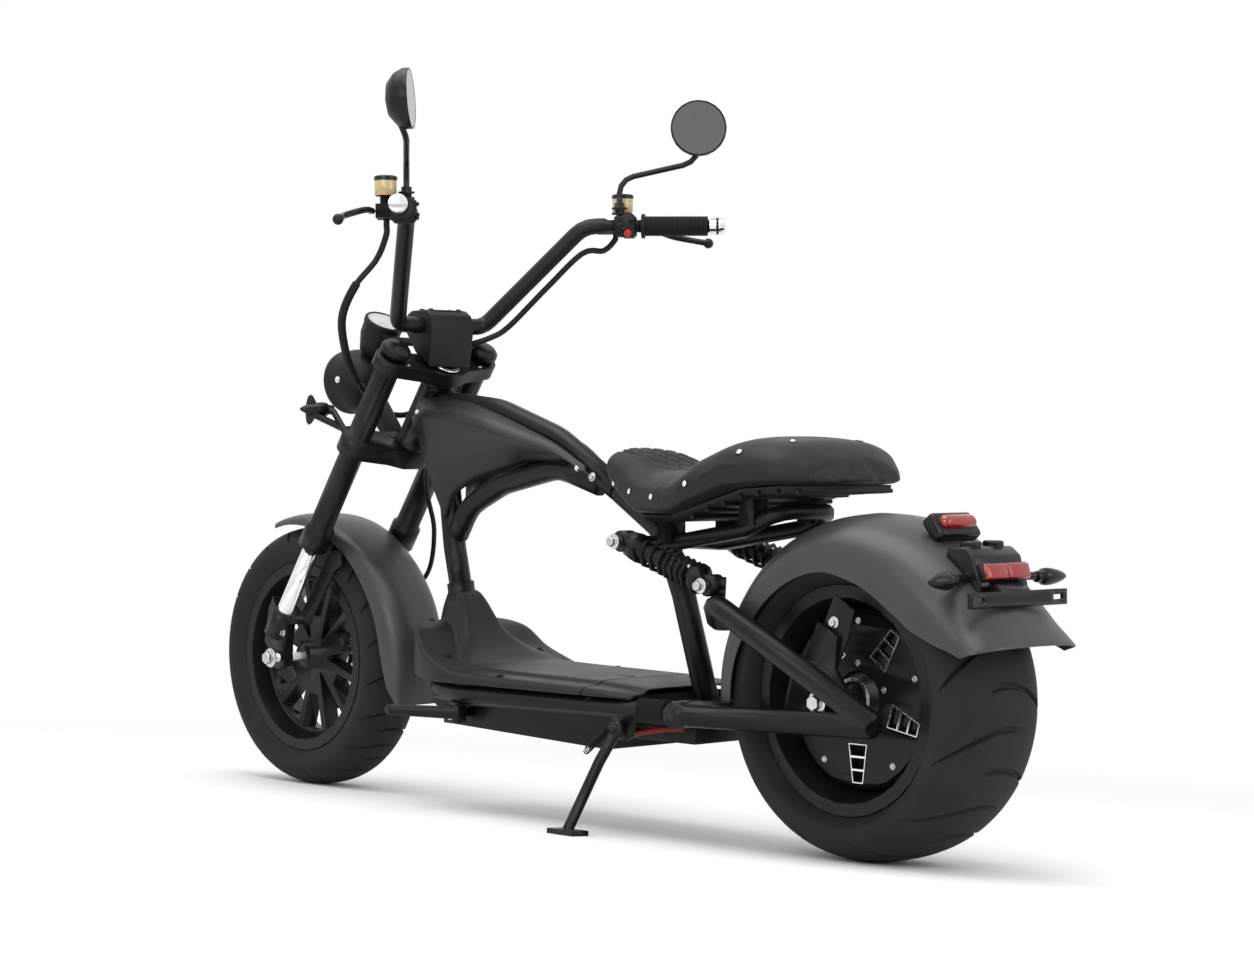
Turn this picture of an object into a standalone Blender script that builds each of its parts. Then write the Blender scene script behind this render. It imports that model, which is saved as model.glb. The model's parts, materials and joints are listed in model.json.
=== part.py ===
"""Electric chopper scooter, leaning on its side stand.

Every piece is first placed in the upright frame of the scooter: +X forward, +Y to the rider's
left, +Z up, with the ground at z = 0 straight under the rear axle. One empty, bike_frame, then
leans the whole scooter onto its side stand and sets it on the floor.
"""
import bpy
import bmesh
from math import asin, atan2, cos, degrees, hypot, pi, radians, sin, sqrt, tan
from mathutils import Matrix, Vector

# Driving sizes, in metres
WHEELBASE = 1.338
SEAT_GAP = 0.0003              # gap left between two pieces that touch

REAR_TYRE_R = 0.2385
REAR_TYRE_HALF = 0.104
REAR_WAIST_R = 0.186           # radius at which the rear tyre is widest
FRONT_TYRE_R = 0.230
FRONT_TYRE_HALF = 0.058
FRONT_WAIST_R = 0.192
TYRE_FACETS = 32

RIM_FLANGE_R = 0.1665
RIM_SEAT_R = 0.154             # where the tyre's bead sits
RIM_FLANGE_T = 0.006
REAR_FLANGE_Y = 0.0815
FRONT_FLANGE_Y = 0.0457

FORK_RAKE = radians(34.7)      # steering axis from the vertical
HEAD_POINT = Vector((0.984, 0.0, 0.752))
FORK_OFFSET = 0.025            # legs in front of the steering axis
LEG_Y = 0.095
LEG_TOP = 0.0                  # distances down the leg from its top cap
UPPER_CLAMP_AT = 0.030
UPPER_CLAMP_H = 0.024
LOWER_CLAMP_H = 0.034
LOWER_CLAMP_AT = 0.195
COLLAR_END_AT = 0.411
SLIDER_END_AT = 0.552
LEG_TUBE_R = 0.021
LEG_COLLAR_R = 0.026
SLIDER_R = 0.015
HEAD_TUBE_R = 0.026
STEM_R = 0.014

MAIN_TUBE_R = 0.019
LOOP_R = 0.0125
SLEEVE_R = 0.023
SLEEVE_TOP = (0.9525, 0.0, 0.372)
SLEEVE_LOW = (0.938, 0.0, 0.296)
RAIL_Y = 0.122
RAIL_Z = 0.200
RAIL_R = 0.0165
RAIL_REAR_X = 0.300
PIVOT_X = 0.272
PIVOT_Z = 0.203
PIVOT_R = 0.018

ARM_Y = 0.140
ARM_R = 0.0175
ARM_CORNER = (0.204, 0.371)
ARM_CROSS = (0.262, 0.075, 0.342)
ARM_TIP = (-0.112, 0.212)
AXLE_PLATE_Y = 0.1145          # inner face
AXLE_PLATE_T = 0.009
AXLE_R = 0.008

SHOCK_TOP = (0.424, 0.457)
SHOCK_LOW = (0.236, 0.396)
SHOCK_Y = 0.112
COIL_R = 0.0205                # centre line of the spring wire
COIL_WIRE_R = 0.0034

DECK_TOP_Z = 0.246
DECK_STEP_Z = 0.236
DECK_EDGE_Z = 0.2185
DECK_HALF = 0.144
DECK_REAR_X = 0.392
DECK_SEAM_X = 0.492
DECK_FLAT_X = 0.800
BOX_HALF = 0.098
BOX_REAR_X = 0.470
BOX_FRONT_X = 0.912
BOX_LOW_Z = 0.133
BOX_WALL = 0.003

REAR_GUARD_HALF = 0.1165
FRONT_GUARD_HALF = 0.063
GUARD_T = 0.0025

LEAN = radians(4.2)            # towards the side stand
STAND_PIVOT = (0.402, 0.148, 0.172)
STAND_RAKE = radians(9.0)      # leg slopes forward towards its foot
STAND_SPLAY = radians(24.0)    # leg slopes outward towards its foot

BAR_R = 0.0140
BAR_END_R = 0.0110
GRIP_R = 0.0165
BAR_LOW = (1.004, 0.060, 0.806)
BAR_BEND = (1.004, 0.094, 0.806)
BAR_TOP = (0.855, 0.193, 0.976)
GRIP_END = (0.697, 0.336, 0.975)

REAR_TYRE = (REAR_TYRE_R, REAR_TYRE_HALF, REAR_WAIST_R, REAR_FLANGE_Y)
FRONT_TYRE = (FRONT_TYRE_R, FRONT_TYRE_HALF, FRONT_WAIST_R, FRONT_FLANGE_Y)
REAR_AXLE = Vector((0.0, 0.0, REAR_TYRE_R))
FRONT_AXLE = Vector((WHEELBASE, 0.0, FRONT_TYRE_R))
STEER_UP = Vector((-sin(FORK_RAKE), 0.0, cos(FORK_RAKE)))
STEER_FORE = Vector((cos(FORK_RAKE), 0.0, sin(FORK_RAKE)))

LEFT, RIGHT = 1, -1
SIDES = ((LEFT, "left"), (RIGHT, "right"))

# finish: colour, roughness, metallic
FINISHES = {
    "satin_black": ((0.016, 0.016, 0.017), 0.45, 0.0),
    "graphite": ((0.060, 0.060, 0.063), 0.38, 0.35),
    "tyre_rubber": ((0.020, 0.020, 0.021), 0.80, 0.0),
    "black_plastic": ((0.012, 0.012, 0.012), 0.60, 0.0),
    "black_leather": ((0.010, 0.010, 0.010), 0.55, 0.0),
    "chrome": ((0.80, 0.80, 0.80), 0.12, 1.0),
    "alloy": ((0.55, 0.55, 0.56), 0.32, 1.0),
    "black_alloy": ((0.022, 0.022, 0.023), 0.35, 0.6),
    "red_lens": ((0.60, 0.010, 0.008), 0.15, 0.0),
    "amber_fluid": ((0.62, 0.40, 0.12), 0.20, 0.0),
    "dark_glass": ((0.010, 0.011, 0.012), 0.05, 0.0),
    "mirror_glass": ((0.75, 0.76, 0.78), 0.03, 1.0),
    "clear_lens": ((0.60, 0.62, 0.64), 0.08, 0.0),
}


# Scene, collections and parents

def clear_scene():
    for old in list(bpy.data.objects):
        bpy.data.objects.remove(old, do_unlink=True)


def new_collection(name):
    collection = bpy.data.collections.new(name)
    bpy.context.scene.collection.children.link(collection)
    return collection


clear_scene()
PARTS = new_collection("electric_chopper_scooter")
CUTTERS = new_collection("cutters")


def add_empty(name, place, parent=None):
    """An empty at a place of the upright frame, whose children keep their upright places."""
    empty = bpy.data.objects.new(name, None)
    empty.empty_display_size = 0.05
    PARTS.objects.link(empty)
    empty.matrix_basis = place
    if parent is not None:
        adopt(empty, parent)
    return empty


UPRIGHT = {}                   # empty's name: its place in the upright frame


def adopt(child, parent):
    child.parent = parent
    if parent.name in UPRIGHT:
        child.matrix_parent_inverse = UPRIGHT[parent.name].inverted()


def along(direction, origin=(0, 0, 0)):
    """A frame whose Z axis is the given direction, for turned pieces and joint axes."""
    turn = Vector(direction).to_track_quat("Z", "Y").to_matrix().to_4x4()
    return Matrix.Translation(Vector(origin)) @ turn


def place_frame():
    frame = add_empty("bike_frame", Matrix.Identity(4))
    UPRIGHT["bike_frame"] = Matrix.Identity(4)
    places = {
        "steering_axis": (along(STEER_UP, HEAD_POINT), "bike_frame"),
        "front_axle_axis": (along((0, 1, 0), FRONT_AXLE), "steering_axis"),
        "rear_axle_axis": (along((0, 1, 0), REAR_AXLE), "bike_frame"),
        "stand_pivot": (along(stand_axis(), STAND_PIVOT), "bike_frame"),
    }
    for name, (place, parent) in places.items():
        add_empty(name, place, bpy.data.objects[parent])
        UPRIGHT[name] = place
    return frame


def stand_axis():
    """The side stand turns about a line across the frame, tipped so that its foot splays out."""
    return Vector((0.0, cos(STAND_SPLAY / 2), sin(STAND_SPLAY / 2)))


# Shapes

def material(name, finish):
    colour, roughness, metallic = FINISHES[finish]
    made = bpy.data.materials.new(name)
    made.use_nodes = True
    shader = made.node_tree.nodes["Principled BSDF"]
    shader.inputs["Base Color"].default_value = (*colour, 1.0)
    shader.inputs["Roughness"].default_value = roughness
    shader.inputs["Metallic"].default_value = metallic
    made.diffuse_color = (*colour, 1.0)
    return made


def register(obj, finish, pivot="bike_frame", smooth=35):
    """Gives a finished sub-part its material and its parent."""
    obj.data.materials.clear()
    obj.data.materials.append(material(obj.name, finish))
    if obj.type == "MESH":
        obj.data.shade_smooth()
        obj.data.set_sharp_from_angle(angle=radians(smooth))
    adopt(obj, bpy.data.objects[pivot])
    return obj


def mesh_object(name, data, place=None):
    obj = bpy.data.objects.new(name, data)
    PARTS.objects.link(obj)
    if place is not None:
        obj.matrix_basis = place
    return obj


def from_bmesh(name, form, place=None):
    data = bpy.data.meshes.new(name)
    form.to_mesh(data)
    form.free()
    return mesh_object(name, data, place)


def turned(name, profile, place, steps=24, closed=True, phase=0.0):
    """A profile of (radius, height) turned about Z; it runs down its outer side."""
    form = bmesh.new()
    points = [form.verts.new((r, 0.0, h)) for r, h in profile]
    for first, second in zip(points, points[1:]):
        form.edges.new((first, second))
    if closed:
        form.edges.new((points[-1], points[0]))
    obj = from_bmesh(name, form, place @ Matrix.Rotation(phase, 4, "Z"))
    screw = obj.modifiers.new("turn", "SCREW")
    screw.steps = screw.render_steps = steps
    screw.use_merge_vertices = True
    screw.merge_threshold = 0.00001
    screw.use_smooth_shade = True
    return obj


def rod(name, start, end, radius, sides=16, end_radius=None):
    """A straight bar between two points, made from a cone primitive."""
    start, end = Vector(start), Vector(end)
    form = bmesh.new()
    bmesh.ops.create_cone(form, cap_ends=True, segments=sides, radius1=radius,
                          radius2=radius if end_radius is None else end_radius,
                          depth=(end - start).length)
    return from_bmesh(name, form, along(end - start, (start + end) / 2))


def box(name, centre, size, bevel=0.0, turn=None, segments=1):
    form = bmesh.new()
    bmesh.ops.create_cube(form, size=1.0)
    bmesh.ops.scale(form, vec=Vector(size), verts=form.verts)
    place = Matrix.Translation(Vector(centre))
    obj = from_bmesh(name, form, place if turn is None else place @ turn)
    if bevel:
        soften(obj, bevel, segments)
    return obj


def ball(name, centre, radius, sides=16, squash=1.0, direction=(0, 0, 1)):
    form = bmesh.new()
    bmesh.ops.create_uvsphere(form, u_segments=sides, v_segments=max(6, sides // 2), radius=radius)
    bmesh.ops.scale(form, vec=Vector((1, 1, squash)), verts=form.verts)
    return from_bmesh(name, form, along(direction, centre))


def soften(obj, width, segments=1, angle=40):
    bevel = obj.modifiers.new("edges", "BEVEL")
    bevel.width = width
    bevel.segments = segments
    bevel.limit_method = "ANGLE"
    bevel.angle_limit = radians(angle)
    return obj


def rounded(points, bend, steps=4):
    """A polyline whose corners are arcs of the given bend radius."""
    points = [Vector(p) for p in points]
    path = [points[0]]
    for before, corner, after in zip(points, points[1:], points[2:]):
        back, ahead = (before - corner).normalized(), (after - corner).normalized()
        turn = back.angle(ahead)
        if pi - turn < 0.01:
            path.append(corner)
            continue
        reach = bend / tan(turn / 2)
        reach = min(reach, 0.48 * (before - corner).length, 0.48 * (after - corner).length)
        arc_r = reach * tan(turn / 2)
        centre = corner + (back + ahead).normalized() * (arc_r / sin(turn / 2))
        first, last = corner + back * reach, corner + ahead * reach
        start, end = (first - centre).normalized(), (last - centre).normalized()
        for step in range(steps + 1):
            path.append(centre + start.slerp(end, step / steps) * arc_r)
    path.append(points[-1])
    return path


def tube(name, path, radius, sides=12, radii=None):
    """A pipe along a path: a bevelled curve with filled caps."""
    curve = bpy.data.curves.new(name, "CURVE")
    curve.dimensions = "3D"
    curve.bevel_depth = radius
    curve.bevel_resolution = (sides - 4) // 2
    curve.use_fill_caps = True
    spline = curve.splines.new("POLY")
    spline.points.add(len(path) - 1)
    for index, point in enumerate(path):
        spline.points[index].co = (*point, 1.0)
        if radii:
            spline.points[index].radius = radii[index] / radius
    obj = bpy.data.objects.new(name, curve)
    PARTS.objects.link(obj)
    return obj


def plate(name, outline, thickness, place, holes=()):
    """A flat outline in the place's XY plane, made solid on both sides of it."""
    curve = bpy.data.curves.new(name, "CURVE")
    curve.dimensions = "2D"
    curve.fill_mode = "BOTH"
    curve.extrude = thickness / 2
    for ring in (outline, *holes):
        spline = curve.splines.new("POLY")
        spline.points.add(len(ring) - 1)
        for index, (x, y) in enumerate(ring):
            spline.points[index].co = (x, y, 0.0, 1.0)
        spline.use_cyclic_u = True
    obj = bpy.data.objects.new(name, curve)
    PARTS.objects.link(obj)
    obj.matrix_basis = place
    return obj


def side_plane(y):
    """The place of a plate that is drawn as (x, z) and stands across Y at this y."""
    return Matrix.Translation((0, y, 0)) @ Matrix.Rotation(radians(90), 4, "X")


def circle(centre, radius, sides=16, start=0.0, sweep=2 * pi):
    count = sides if abs(sweep - 2 * pi) < 1e-6 else sides + 1
    return [(centre[0] + radius * cos(start + sweep * i / sides),
             centre[1] + radius * sin(start + sweep * i / sides)) for i in range(count)]


def clear_of(radius, sides, gap=SEAT_GAP):
    """Radius of a faceted bore whose flats still clear a round of the given radius."""
    return (radius + gap) / cos(pi / sides)


def as_mesh(obj):
    """The evaluated shape of an object as a mesh object of its own, with its caps welded."""
    bpy.context.view_layer.update()
    graph = bpy.context.evaluated_depsgraph_get()
    data = bpy.data.meshes.new_from_object(obj.evaluated_get(graph))
    form = bmesh.new()
    form.from_mesh(data)
    bmesh.ops.remove_doubles(form, verts=form.verts, dist=0.00001)
    bmesh.ops.recalc_face_normals(form, faces=form.faces)
    form.to_mesh(data)
    form.free()
    name, place = obj.name, obj.matrix_world.copy()
    for used in [step.object for step in obj.modifiers if step.type == "BOOLEAN"]:
        bpy.data.objects.remove(used, do_unlink=True)
    bpy.data.objects.remove(obj, do_unlink=True)
    return mesh_object(name, data, place)


def combine(base, others, operation):
    base = as_mesh(base)
    for other in others:
        other = as_mesh(other)
        PARTS.objects.unlink(other)
        CUTTERS.objects.link(other)
        other.hide_render = True
        other.display_type = "WIRE"
        adopt(other, bpy.data.objects["bike_frame"])
        step = base.modifiers.new(operation.lower(), "BOOLEAN")
        step.operation = operation
        step.object = other
    return base


def fuse(base, *others):
    return combine(base, others, "UNION")


def cut(base, *others):
    return combine(base, others, "DIFFERENCE")


def lofted(name, sections, close_ends=True):
    """A skin through closed sections of equal length, each a list of points."""
    form = bmesh.new()
    rings = [[form.verts.new(p) for p in section] for section in sections]
    for ring, following in zip(rings, rings[1:]):
        for i in range(len(ring)):
            j = (i + 1) % len(ring)
            form.faces.new((ring[i], ring[j], following[j], following[i]))
    if close_ends:
        form.faces.new(rings[0])
        form.faces.new(rings[-1])
    bmesh.ops.recalc_face_normals(form, faces=form.faces)
    return from_bmesh(name, form)


def sheet(name, rows, thickness, inside):
    """An open skin through rows of points, thickened towards a point that lies inside it."""
    form = bmesh.new()
    grid = [[form.verts.new(p) for p in row] for row in rows]
    for row, following in zip(grid, grid[1:]):
        for i in range(len(row) - 1):
            form.faces.new((row[i], row[i + 1], following[i + 1], following[i]))
    form.normal_update()
    facing = sum(face.normal.dot(face.calc_center_median() - Vector(inside)) * face.calc_area()
                 for face in form.faces)
    if facing < 0:
        bmesh.ops.reverse_faces(form, faces=form.faces)
    obj = from_bmesh(name, form)
    solid = obj.modifiers.new("wall", "SOLIDIFY")
    solid.thickness = thickness
    solid.offset = -1.0
    solid.use_even_offset = True
    return obj


# Wheels

def tyre_profile(radius, half, waist, flange_y):
    """Half of the tyre's section runs from its crown to its bead, and is mirrored."""
    roundness = 2.3
    side = []
    for step in range(5):
        t = radians(90) * step / 4
        side.append((waist + (radius - waist) * cos(t) ** (2 / roundness),
                     half * sin(t) ** (2 / roundness)))
    side[-1] = (waist, half)
    side += [(RIM_FLANGE_R + 0.001, flange_y - 0.001),
             (RIM_FLANGE_R + 0.001, flange_y - RIM_FLANGE_T - SEAT_GAP),
             (RIM_SEAT_R + SEAT_GAP, flange_y - RIM_FLANGE_T - SEAT_GAP)]
    left = [(r, y) for r, y in reversed(side[1:])]
    right = [(r, -y) for r, y in side]
    return left + right


def add_tyre(name, sizes, axle, pivot):
    tyre = turned(name, tyre_profile(*sizes), along((0, 1, 0), axle), TYRE_FACETS,
                  phase=pi / TYRE_FACETS)
    register(tyre, "tyre_rubber", pivot)


def rim_profile(flange_y, web_r, web_half):
    """The rim's section: two flanges, two bead seats and a well between them."""
    inner = flange_y - RIM_FLANGE_T
    half = [(RIM_FLANGE_R, flange_y), (RIM_FLANGE_R, inner), (RIM_SEAT_R, inner),
            (RIM_SEAT_R - 0.003, inner * 0.45)]
    bore = [(web_r, web_half), (RIM_SEAT_R - 0.006, flange_y)]
    outer = half + [(r, -y) for r, y in reversed(half)]
    under = [(r, -y) for r, y in reversed(bore)] + bore
    return outer + under


def add_rear_wheel():
    pivot = "rear_axle_axis"
    place = along((0, 1, 0), REAR_AXLE)
    add_tyre("rear_tyre", REAR_TYRE, REAR_AXLE, pivot)
    rim = turned("rear_rim", rim_profile(REAR_FLANGE_Y, MOTOR_R + SEAT_GAP, 0.034), place,
                 TYRE_FACETS, phase=pi / TYRE_FACETS)
    register(rim, "black_alloy", pivot)
    drum = [(MOTOR_R - 0.006, MOTOR_HALF), (MOTOR_R, MOTOR_HALF - 0.008),
            (MOTOR_R, -MOTOR_HALF + 0.008), (MOTOR_R - 0.006, -MOTOR_HALF),
            (0.040, -MOTOR_HALF - 0.004), (0.034, -MOTOR_BOSS), (AXLE_R + 0.0006, -MOTOR_BOSS),
            (AXLE_R + 0.0006, MOTOR_BOSS), (0.034, MOTOR_BOSS), (0.040, MOTOR_HALF + 0.004)]
    register(turned("hub_motor", drum, place, TYRE_FACETS, phase=pi / TYRE_FACETS),
             "black_alloy", pivot)
    add_motor_cover(place, pivot)
    add_brake_disc("rear_brake_disc", REAR_AXLE, MOTOR_BOSS, 0.088, 0.020, pivot)


MOTOR_R = 0.134
MOTOR_HALF = 0.040
MOTOR_BOSS = 0.060
COVER_T = 0.006
COVER_R = 0.127
COVER_BORE_R = 0.0415
WINDOW_COUNT = 5
WINDOW_IN_R = 0.066
WINDOW_OUT_R = 0.119
WINDOW_IN_HALF = 0.0150
WINDOW_OUT_HALF = 0.0075
WINDOW_BAR = 0.0022
DISC_T = 0.0040


def add_motor_cover(place, pivot):
    """The round cover on the motor, cut by five tapering windows with two bars in each."""
    holes = [circle((0, 0), COVER_BORE_R, 16)]
    cells = 3
    for index in range(WINDOW_COUNT):
        turn = radians(-90) + 2 * pi * index / WINDOW_COUNT
        for cell in range(cells):
            low = WINDOW_IN_R + (WINDOW_OUT_R - WINDOW_IN_R) * cell / cells + WINDOW_BAR / 2
            high = WINDOW_IN_R + (WINDOW_OUT_R - WINDOW_IN_R) * (cell + 1) / cells
            high -= WINDOW_BAR / 2
            corners = []
            for radius, sign in ((low, -1), (high, -1), (high, 1), (low, 1)):
                share = (radius - WINDOW_IN_R) / (WINDOW_OUT_R - WINDOW_IN_R)
                across = sign * (WINDOW_IN_HALF + (WINDOW_OUT_HALF - WINDOW_IN_HALF) * share)
                corners.append((radius * cos(turn) - across * sin(turn),
                                radius * sin(turn) + across * cos(turn)))
            holes.append(corners)
    middle = MOTOR_HALF + 0.0045 + COVER_T / 2
    cover = plate("motor_cover", circle((0, 0), COVER_R, 28), COVER_T,
                  side_plane(middle), holes)
    cover.matrix_basis = Matrix.Translation(REAR_AXLE) @ cover.matrix_basis
    register(cover, "black_alloy", pivot)


def add_brake_disc(name, axle, hub_half, outer, inner, pivot):
    """A brake disc bolted to the right face of its hub."""
    ring = [(outer, 0.0), (outer, -DISC_T), (inner, -DISC_T), (inner, 0.0)]
    place = along((0, 1, 0), axle - Vector((0, hub_half + SEAT_GAP, 0)))
    register(turned(name, ring, place, 24), "alloy", pivot)


FRONT_HUB_R = 0.024
FRONT_HUB_HALF = 0.040
SPOKE_COUNT = 12
SPOKE_HALF = 0.0065
SPOKE_DEPTH = 0.030
FRONT_BARREL_R = 0.138


def add_front_wheel():
    """A cast wheel: twelve straight spokes, webbed in pairs near the hub."""
    pivot = "front_axle_axis"
    place = along((0, 1, 0), FRONT_AXLE)
    add_tyre("front_tyre", FRONT_TYRE, FRONT_AXLE, pivot)
    rim = turned("front_rim", rim_profile(FRONT_FLANGE_Y, FRONT_BARREL_R, 0.018), place,
                 TYRE_FACETS, phase=pi / TYRE_FACETS)
    hub = turned("front_hub", [(FRONT_HUB_R, FRONT_HUB_HALF), (FRONT_HUB_R, -FRONT_HUB_HALF),
                               (AXLE_R + 0.0006, -FRONT_HUB_HALF),
                               (AXLE_R + 0.0006, FRONT_HUB_HALF)], place, 16)
    spokes = plate("front_spokes", circle((0, 0), FRONT_BARREL_R + 0.006, TYRE_FACETS), SPOKE_DEPTH,
                   side_plane(0.0), spoke_windows())
    spokes.matrix_basis = Matrix.Translation(FRONT_AXLE) @ spokes.matrix_basis
    bore = rod("hub_bore", FRONT_AXLE - Vector((0, 0.1, 0)), FRONT_AXLE + Vector((0, 0.1, 0)),
               clear_of(AXLE_R, 16, 0.0006), 16)
    register(cut(fuse(rim, spokes, hub), bore), "black_alloy", pivot)
    add_brake_disc("front_brake_disc", FRONT_AXLE, FRONT_HUB_HALF, 0.098, 0.013, pivot)




def spoke_windows():
    """The openings between spokes; every second one starts further out, past its web."""
    windows = []
    pitch = 2 * pi / SPOKE_COUNT
    for index in range(SPOKE_COUNT):
        middle = radians(-11) + pitch * (index + 0.5)
        inner_r = 0.070 if index % 2 else 0.034
        outer_r = FRONT_BARREL_R - 0.004
        ring = []
        for radius, steps in ((inner_r, 1), (outer_r, 2)):
            reach = pitch / 2 - asin(SPOKE_HALF / radius)
            for step in range(steps + 1):
                turn = middle - reach + 2 * reach * step / steps
                ring.append((radius, turn))
        inner, outer = ring[:2], ring[2:]
        windows.append([(r * cos(t), r * sin(t)) for r, t in inner + outer[::-1]])
    return windows


# Steering: everything that turns with the handlebar

def on_leg(down, y=LEG_Y, fore=0.0):
    """A point of a fork leg, measured down from its cap and forward of its centre line."""
    top = HEAD_POINT + STEER_FORE * (FORK_OFFSET + fore)
    return top - STEER_UP * down + Vector((0, y, 0))


def add_fork():
    pivot = "steering_axis"
    legs = []
    for side, word in SIDES:
        y = side * LEG_Y
        legs.append(turned("leg",
                           [(0.0, 0.006), (LEG_COLLAR_R - 0.006, 0.006), (LEG_COLLAR_R, 0.0),
                            (LEG_COLLAR_R, -0.010), (LEG_TUBE_R, -0.010),
                            (LEG_TUBE_R, -COLLAR_END_AT + 0.045),
                            (LEG_COLLAR_R, -COLLAR_END_AT + 0.040),
                            (LEG_COLLAR_R, -COLLAR_END_AT), (0.0, -COLLAR_END_AT)],
                           along(STEER_UP, on_leg(0, y)), 14, closed=False))
        add_leg_foot(side, word)
    register(clamp("upper_clamp", UPPER_CLAMP_AT, UPPER_CLAMP_H, clear_of(LEG_TUBE_R, 16)), "satin_black",
             pivot)
    lower = clamp("fork_legs", LOWER_CLAMP_AT, LOWER_CLAMP_H)
    stem = rod("stem", HEAD_POINT - STEER_UP * (LOWER_CLAMP_AT - 0.002),
               HEAD_POINT - STEER_UP * (UPPER_CLAMP_AT + 0.012 + SEAT_GAP), STEM_R, 16)
    register(fuse(lower, stem, *legs, *front_indicators()), "satin_black", pivot)
    register(rod("front_axle", FRONT_AXLE + Vector((0, -0.118, 0)),
                 FRONT_AXLE + Vector((0, 0.118, 0)), AXLE_R, 16), "alloy", pivot)


def clamp(name, down, height, bore=None):
    """A fork yoke: a waisted plate with two split collars round the legs."""
    collar = LEG_TUBE_R + 0.0085
    reach = FORK_OFFSET
    outline = [*circle((reach, LEG_Y), collar, 8, 0, pi),
               (-0.016, 0.044), (-0.028, 0.020), (-0.028, -0.020), (-0.016, -0.044),
               *circle((reach, -LEG_Y), collar, 8, pi, pi),
               (reach + 0.012, -0.044), (reach + 0.012, 0.044)]
    holes = [circle((reach, side * LEG_Y), bore, 16) for side in (LEFT, RIGHT)] if bore else []
    frame = Matrix.Translation(HEAD_POINT - STEER_UP * down) @ Matrix(
        ((STEER_FORE.x, 0, STEER_UP.x, 0), (0, 1, 0, 0), (STEER_FORE.z, 0, STEER_UP.z, 0),
         (0, 0, 0, 1)))
    return plate(name, outline, height, frame, holes)


FOOT_PLATE_T = 0.018


def add_leg_foot(side, word):
    """The chromed slider and the casting under it, which carries the axle behind the leg's
    own line and the flat stay of the mudguard."""
    slider = rod(f"fork_slider_{word}", on_leg(COLLAR_END_AT + SEAT_GAP, side * LEG_Y),
                 on_leg(SLIDER_END_AT + 0.010, side * LEG_Y), SLIDER_R, 12)
    socket = turned("socket",
                    [(0.0, 0.0), (SLIDER_R + 0.006, 0.0), (SLIDER_R + 0.006, -0.050), (0.0, -0.050)],
                    along(STEER_UP, on_leg(SLIDER_END_AT, side * LEG_Y)), 12, closed=False)
    bottom = on_leg(SLIDER_END_AT + 0.085, 0)
    top = on_leg(SLIDER_END_AT + 0.015, 0)
    lug = on_leg(SLIDER_END_AT - 0.002, 0, 0.040)
    outline = [(top.x - 0.018, top.z), (top.x + 0.012, top.z + 0.012),
               (lug.x + 0.002, lug.z), (lug.x + 0.014, lug.z - 0.020),
               (bottom.x + 0.010, bottom.z + 0.014), (bottom.x - 0.004, bottom.z),
               *circle((FRONT_AXLE.x, FRONT_AXLE.z), 0.021, 8, radians(-60), radians(-150))]
    arm = plate("foot_arm", outline, FOOT_PLATE_T, side_plane(side * FOOT_ARM_Y))
    stay = plate("guard_stay", [(1.288, 0.288), (1.314, 0.300), (1.226, 0.420), (1.196, 0.420),
                                (1.192, 0.396), (1.214, 0.384)], GUARD_STAY_T,
                 side_plane(side * GUARD_STAY_Y))
    spacer = rod("stay_spacer", (1.303, side * GUARD_STAY_Y, 0.298),
                 (1.303, side * LEG_Y, 0.298), 0.009, 8)
    bore = rod("foot_bore", FRONT_AXLE + Vector((0, side * 0.04, 0)),
               FRONT_AXLE + Vector((0, side * 0.14, 0)), clear_of(AXLE_R, 16), 16)
    register(cut(fuse(slider, socket, arm, stay, spacer), bore), "chrome", "steering_axis")


FOOT_ARM_Y = 0.088
GUARD_STAY_T = 0.004
GUARD_STAY_Y = 0.0660


def add_handlebar():
    pivot = "steering_axis"
    half = [BAR_LOW, BAR_BEND, BAR_TOP, GRIP_END]
    path = [(x, -y, z) for x, y, z in reversed(half)] + half
    curve = rounded(path, 0.050, 3)
    for side, word in SIDES:
        neck = [bar_point(side, 0.178), bar_point(side, 0.172)]
        curve[1:1] = neck[::-1] if side == RIGHT else []
        curve[-1:-1] = neck if side == LEFT else []
    radii = [BAR_END_R] * 2 + [BAR_R] * (len(curve) - 4) + [BAR_END_R] * 2
    bar = tube("handlebar", curve, BAR_R, 10, radii)
    weights = [turned("bar_end", [(0.0, 0.019), (0.010, 0.019), (0.0145, 0.015),
                                  (0.0145, 0.002), (0.0, -0.004)],
                      along(bar_direction(side), bar_point(side, 0.0)), 12, closed=False)
               for side, word in SIDES]
    register(fuse(bar, *weights), "satin_black", pivot)
    for side, word in SIDES:
        add_grip(side, word)
        add_controls(side, word)
        add_mirror(side, word)


def bar_point(side, from_end, lift=0.0):
    """A point on the straight end of the handlebar, measured inward from its tip."""
    end, top = Vector(GRIP_END), Vector(BAR_TOP)
    point = end + (top - end).normalized() * from_end
    return Vector((point.x, side * point.y, point.z + lift))


def bar_direction(side):
    return (bar_point(side, 0) - bar_point(side, 0.1)).normalized()


def add_grip(side, word):
    """A rubber sleeve with a flange at each end."""
    bore = clear_of(BAR_END_R, 14)
    sleeve = [(GRIP_R, 0.0), (GRIP_R, -0.106), (GRIP_R + 0.004, -0.108), (GRIP_R + 0.004, -0.114),
              (bore, -0.114), (bore, 0.0)]
    place = along(bar_direction(side), bar_point(side, 0.001))
    register(turned(f"grip_{word}", sleeve, place, 14), "tyre_rubber", "steering_axis")


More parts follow.
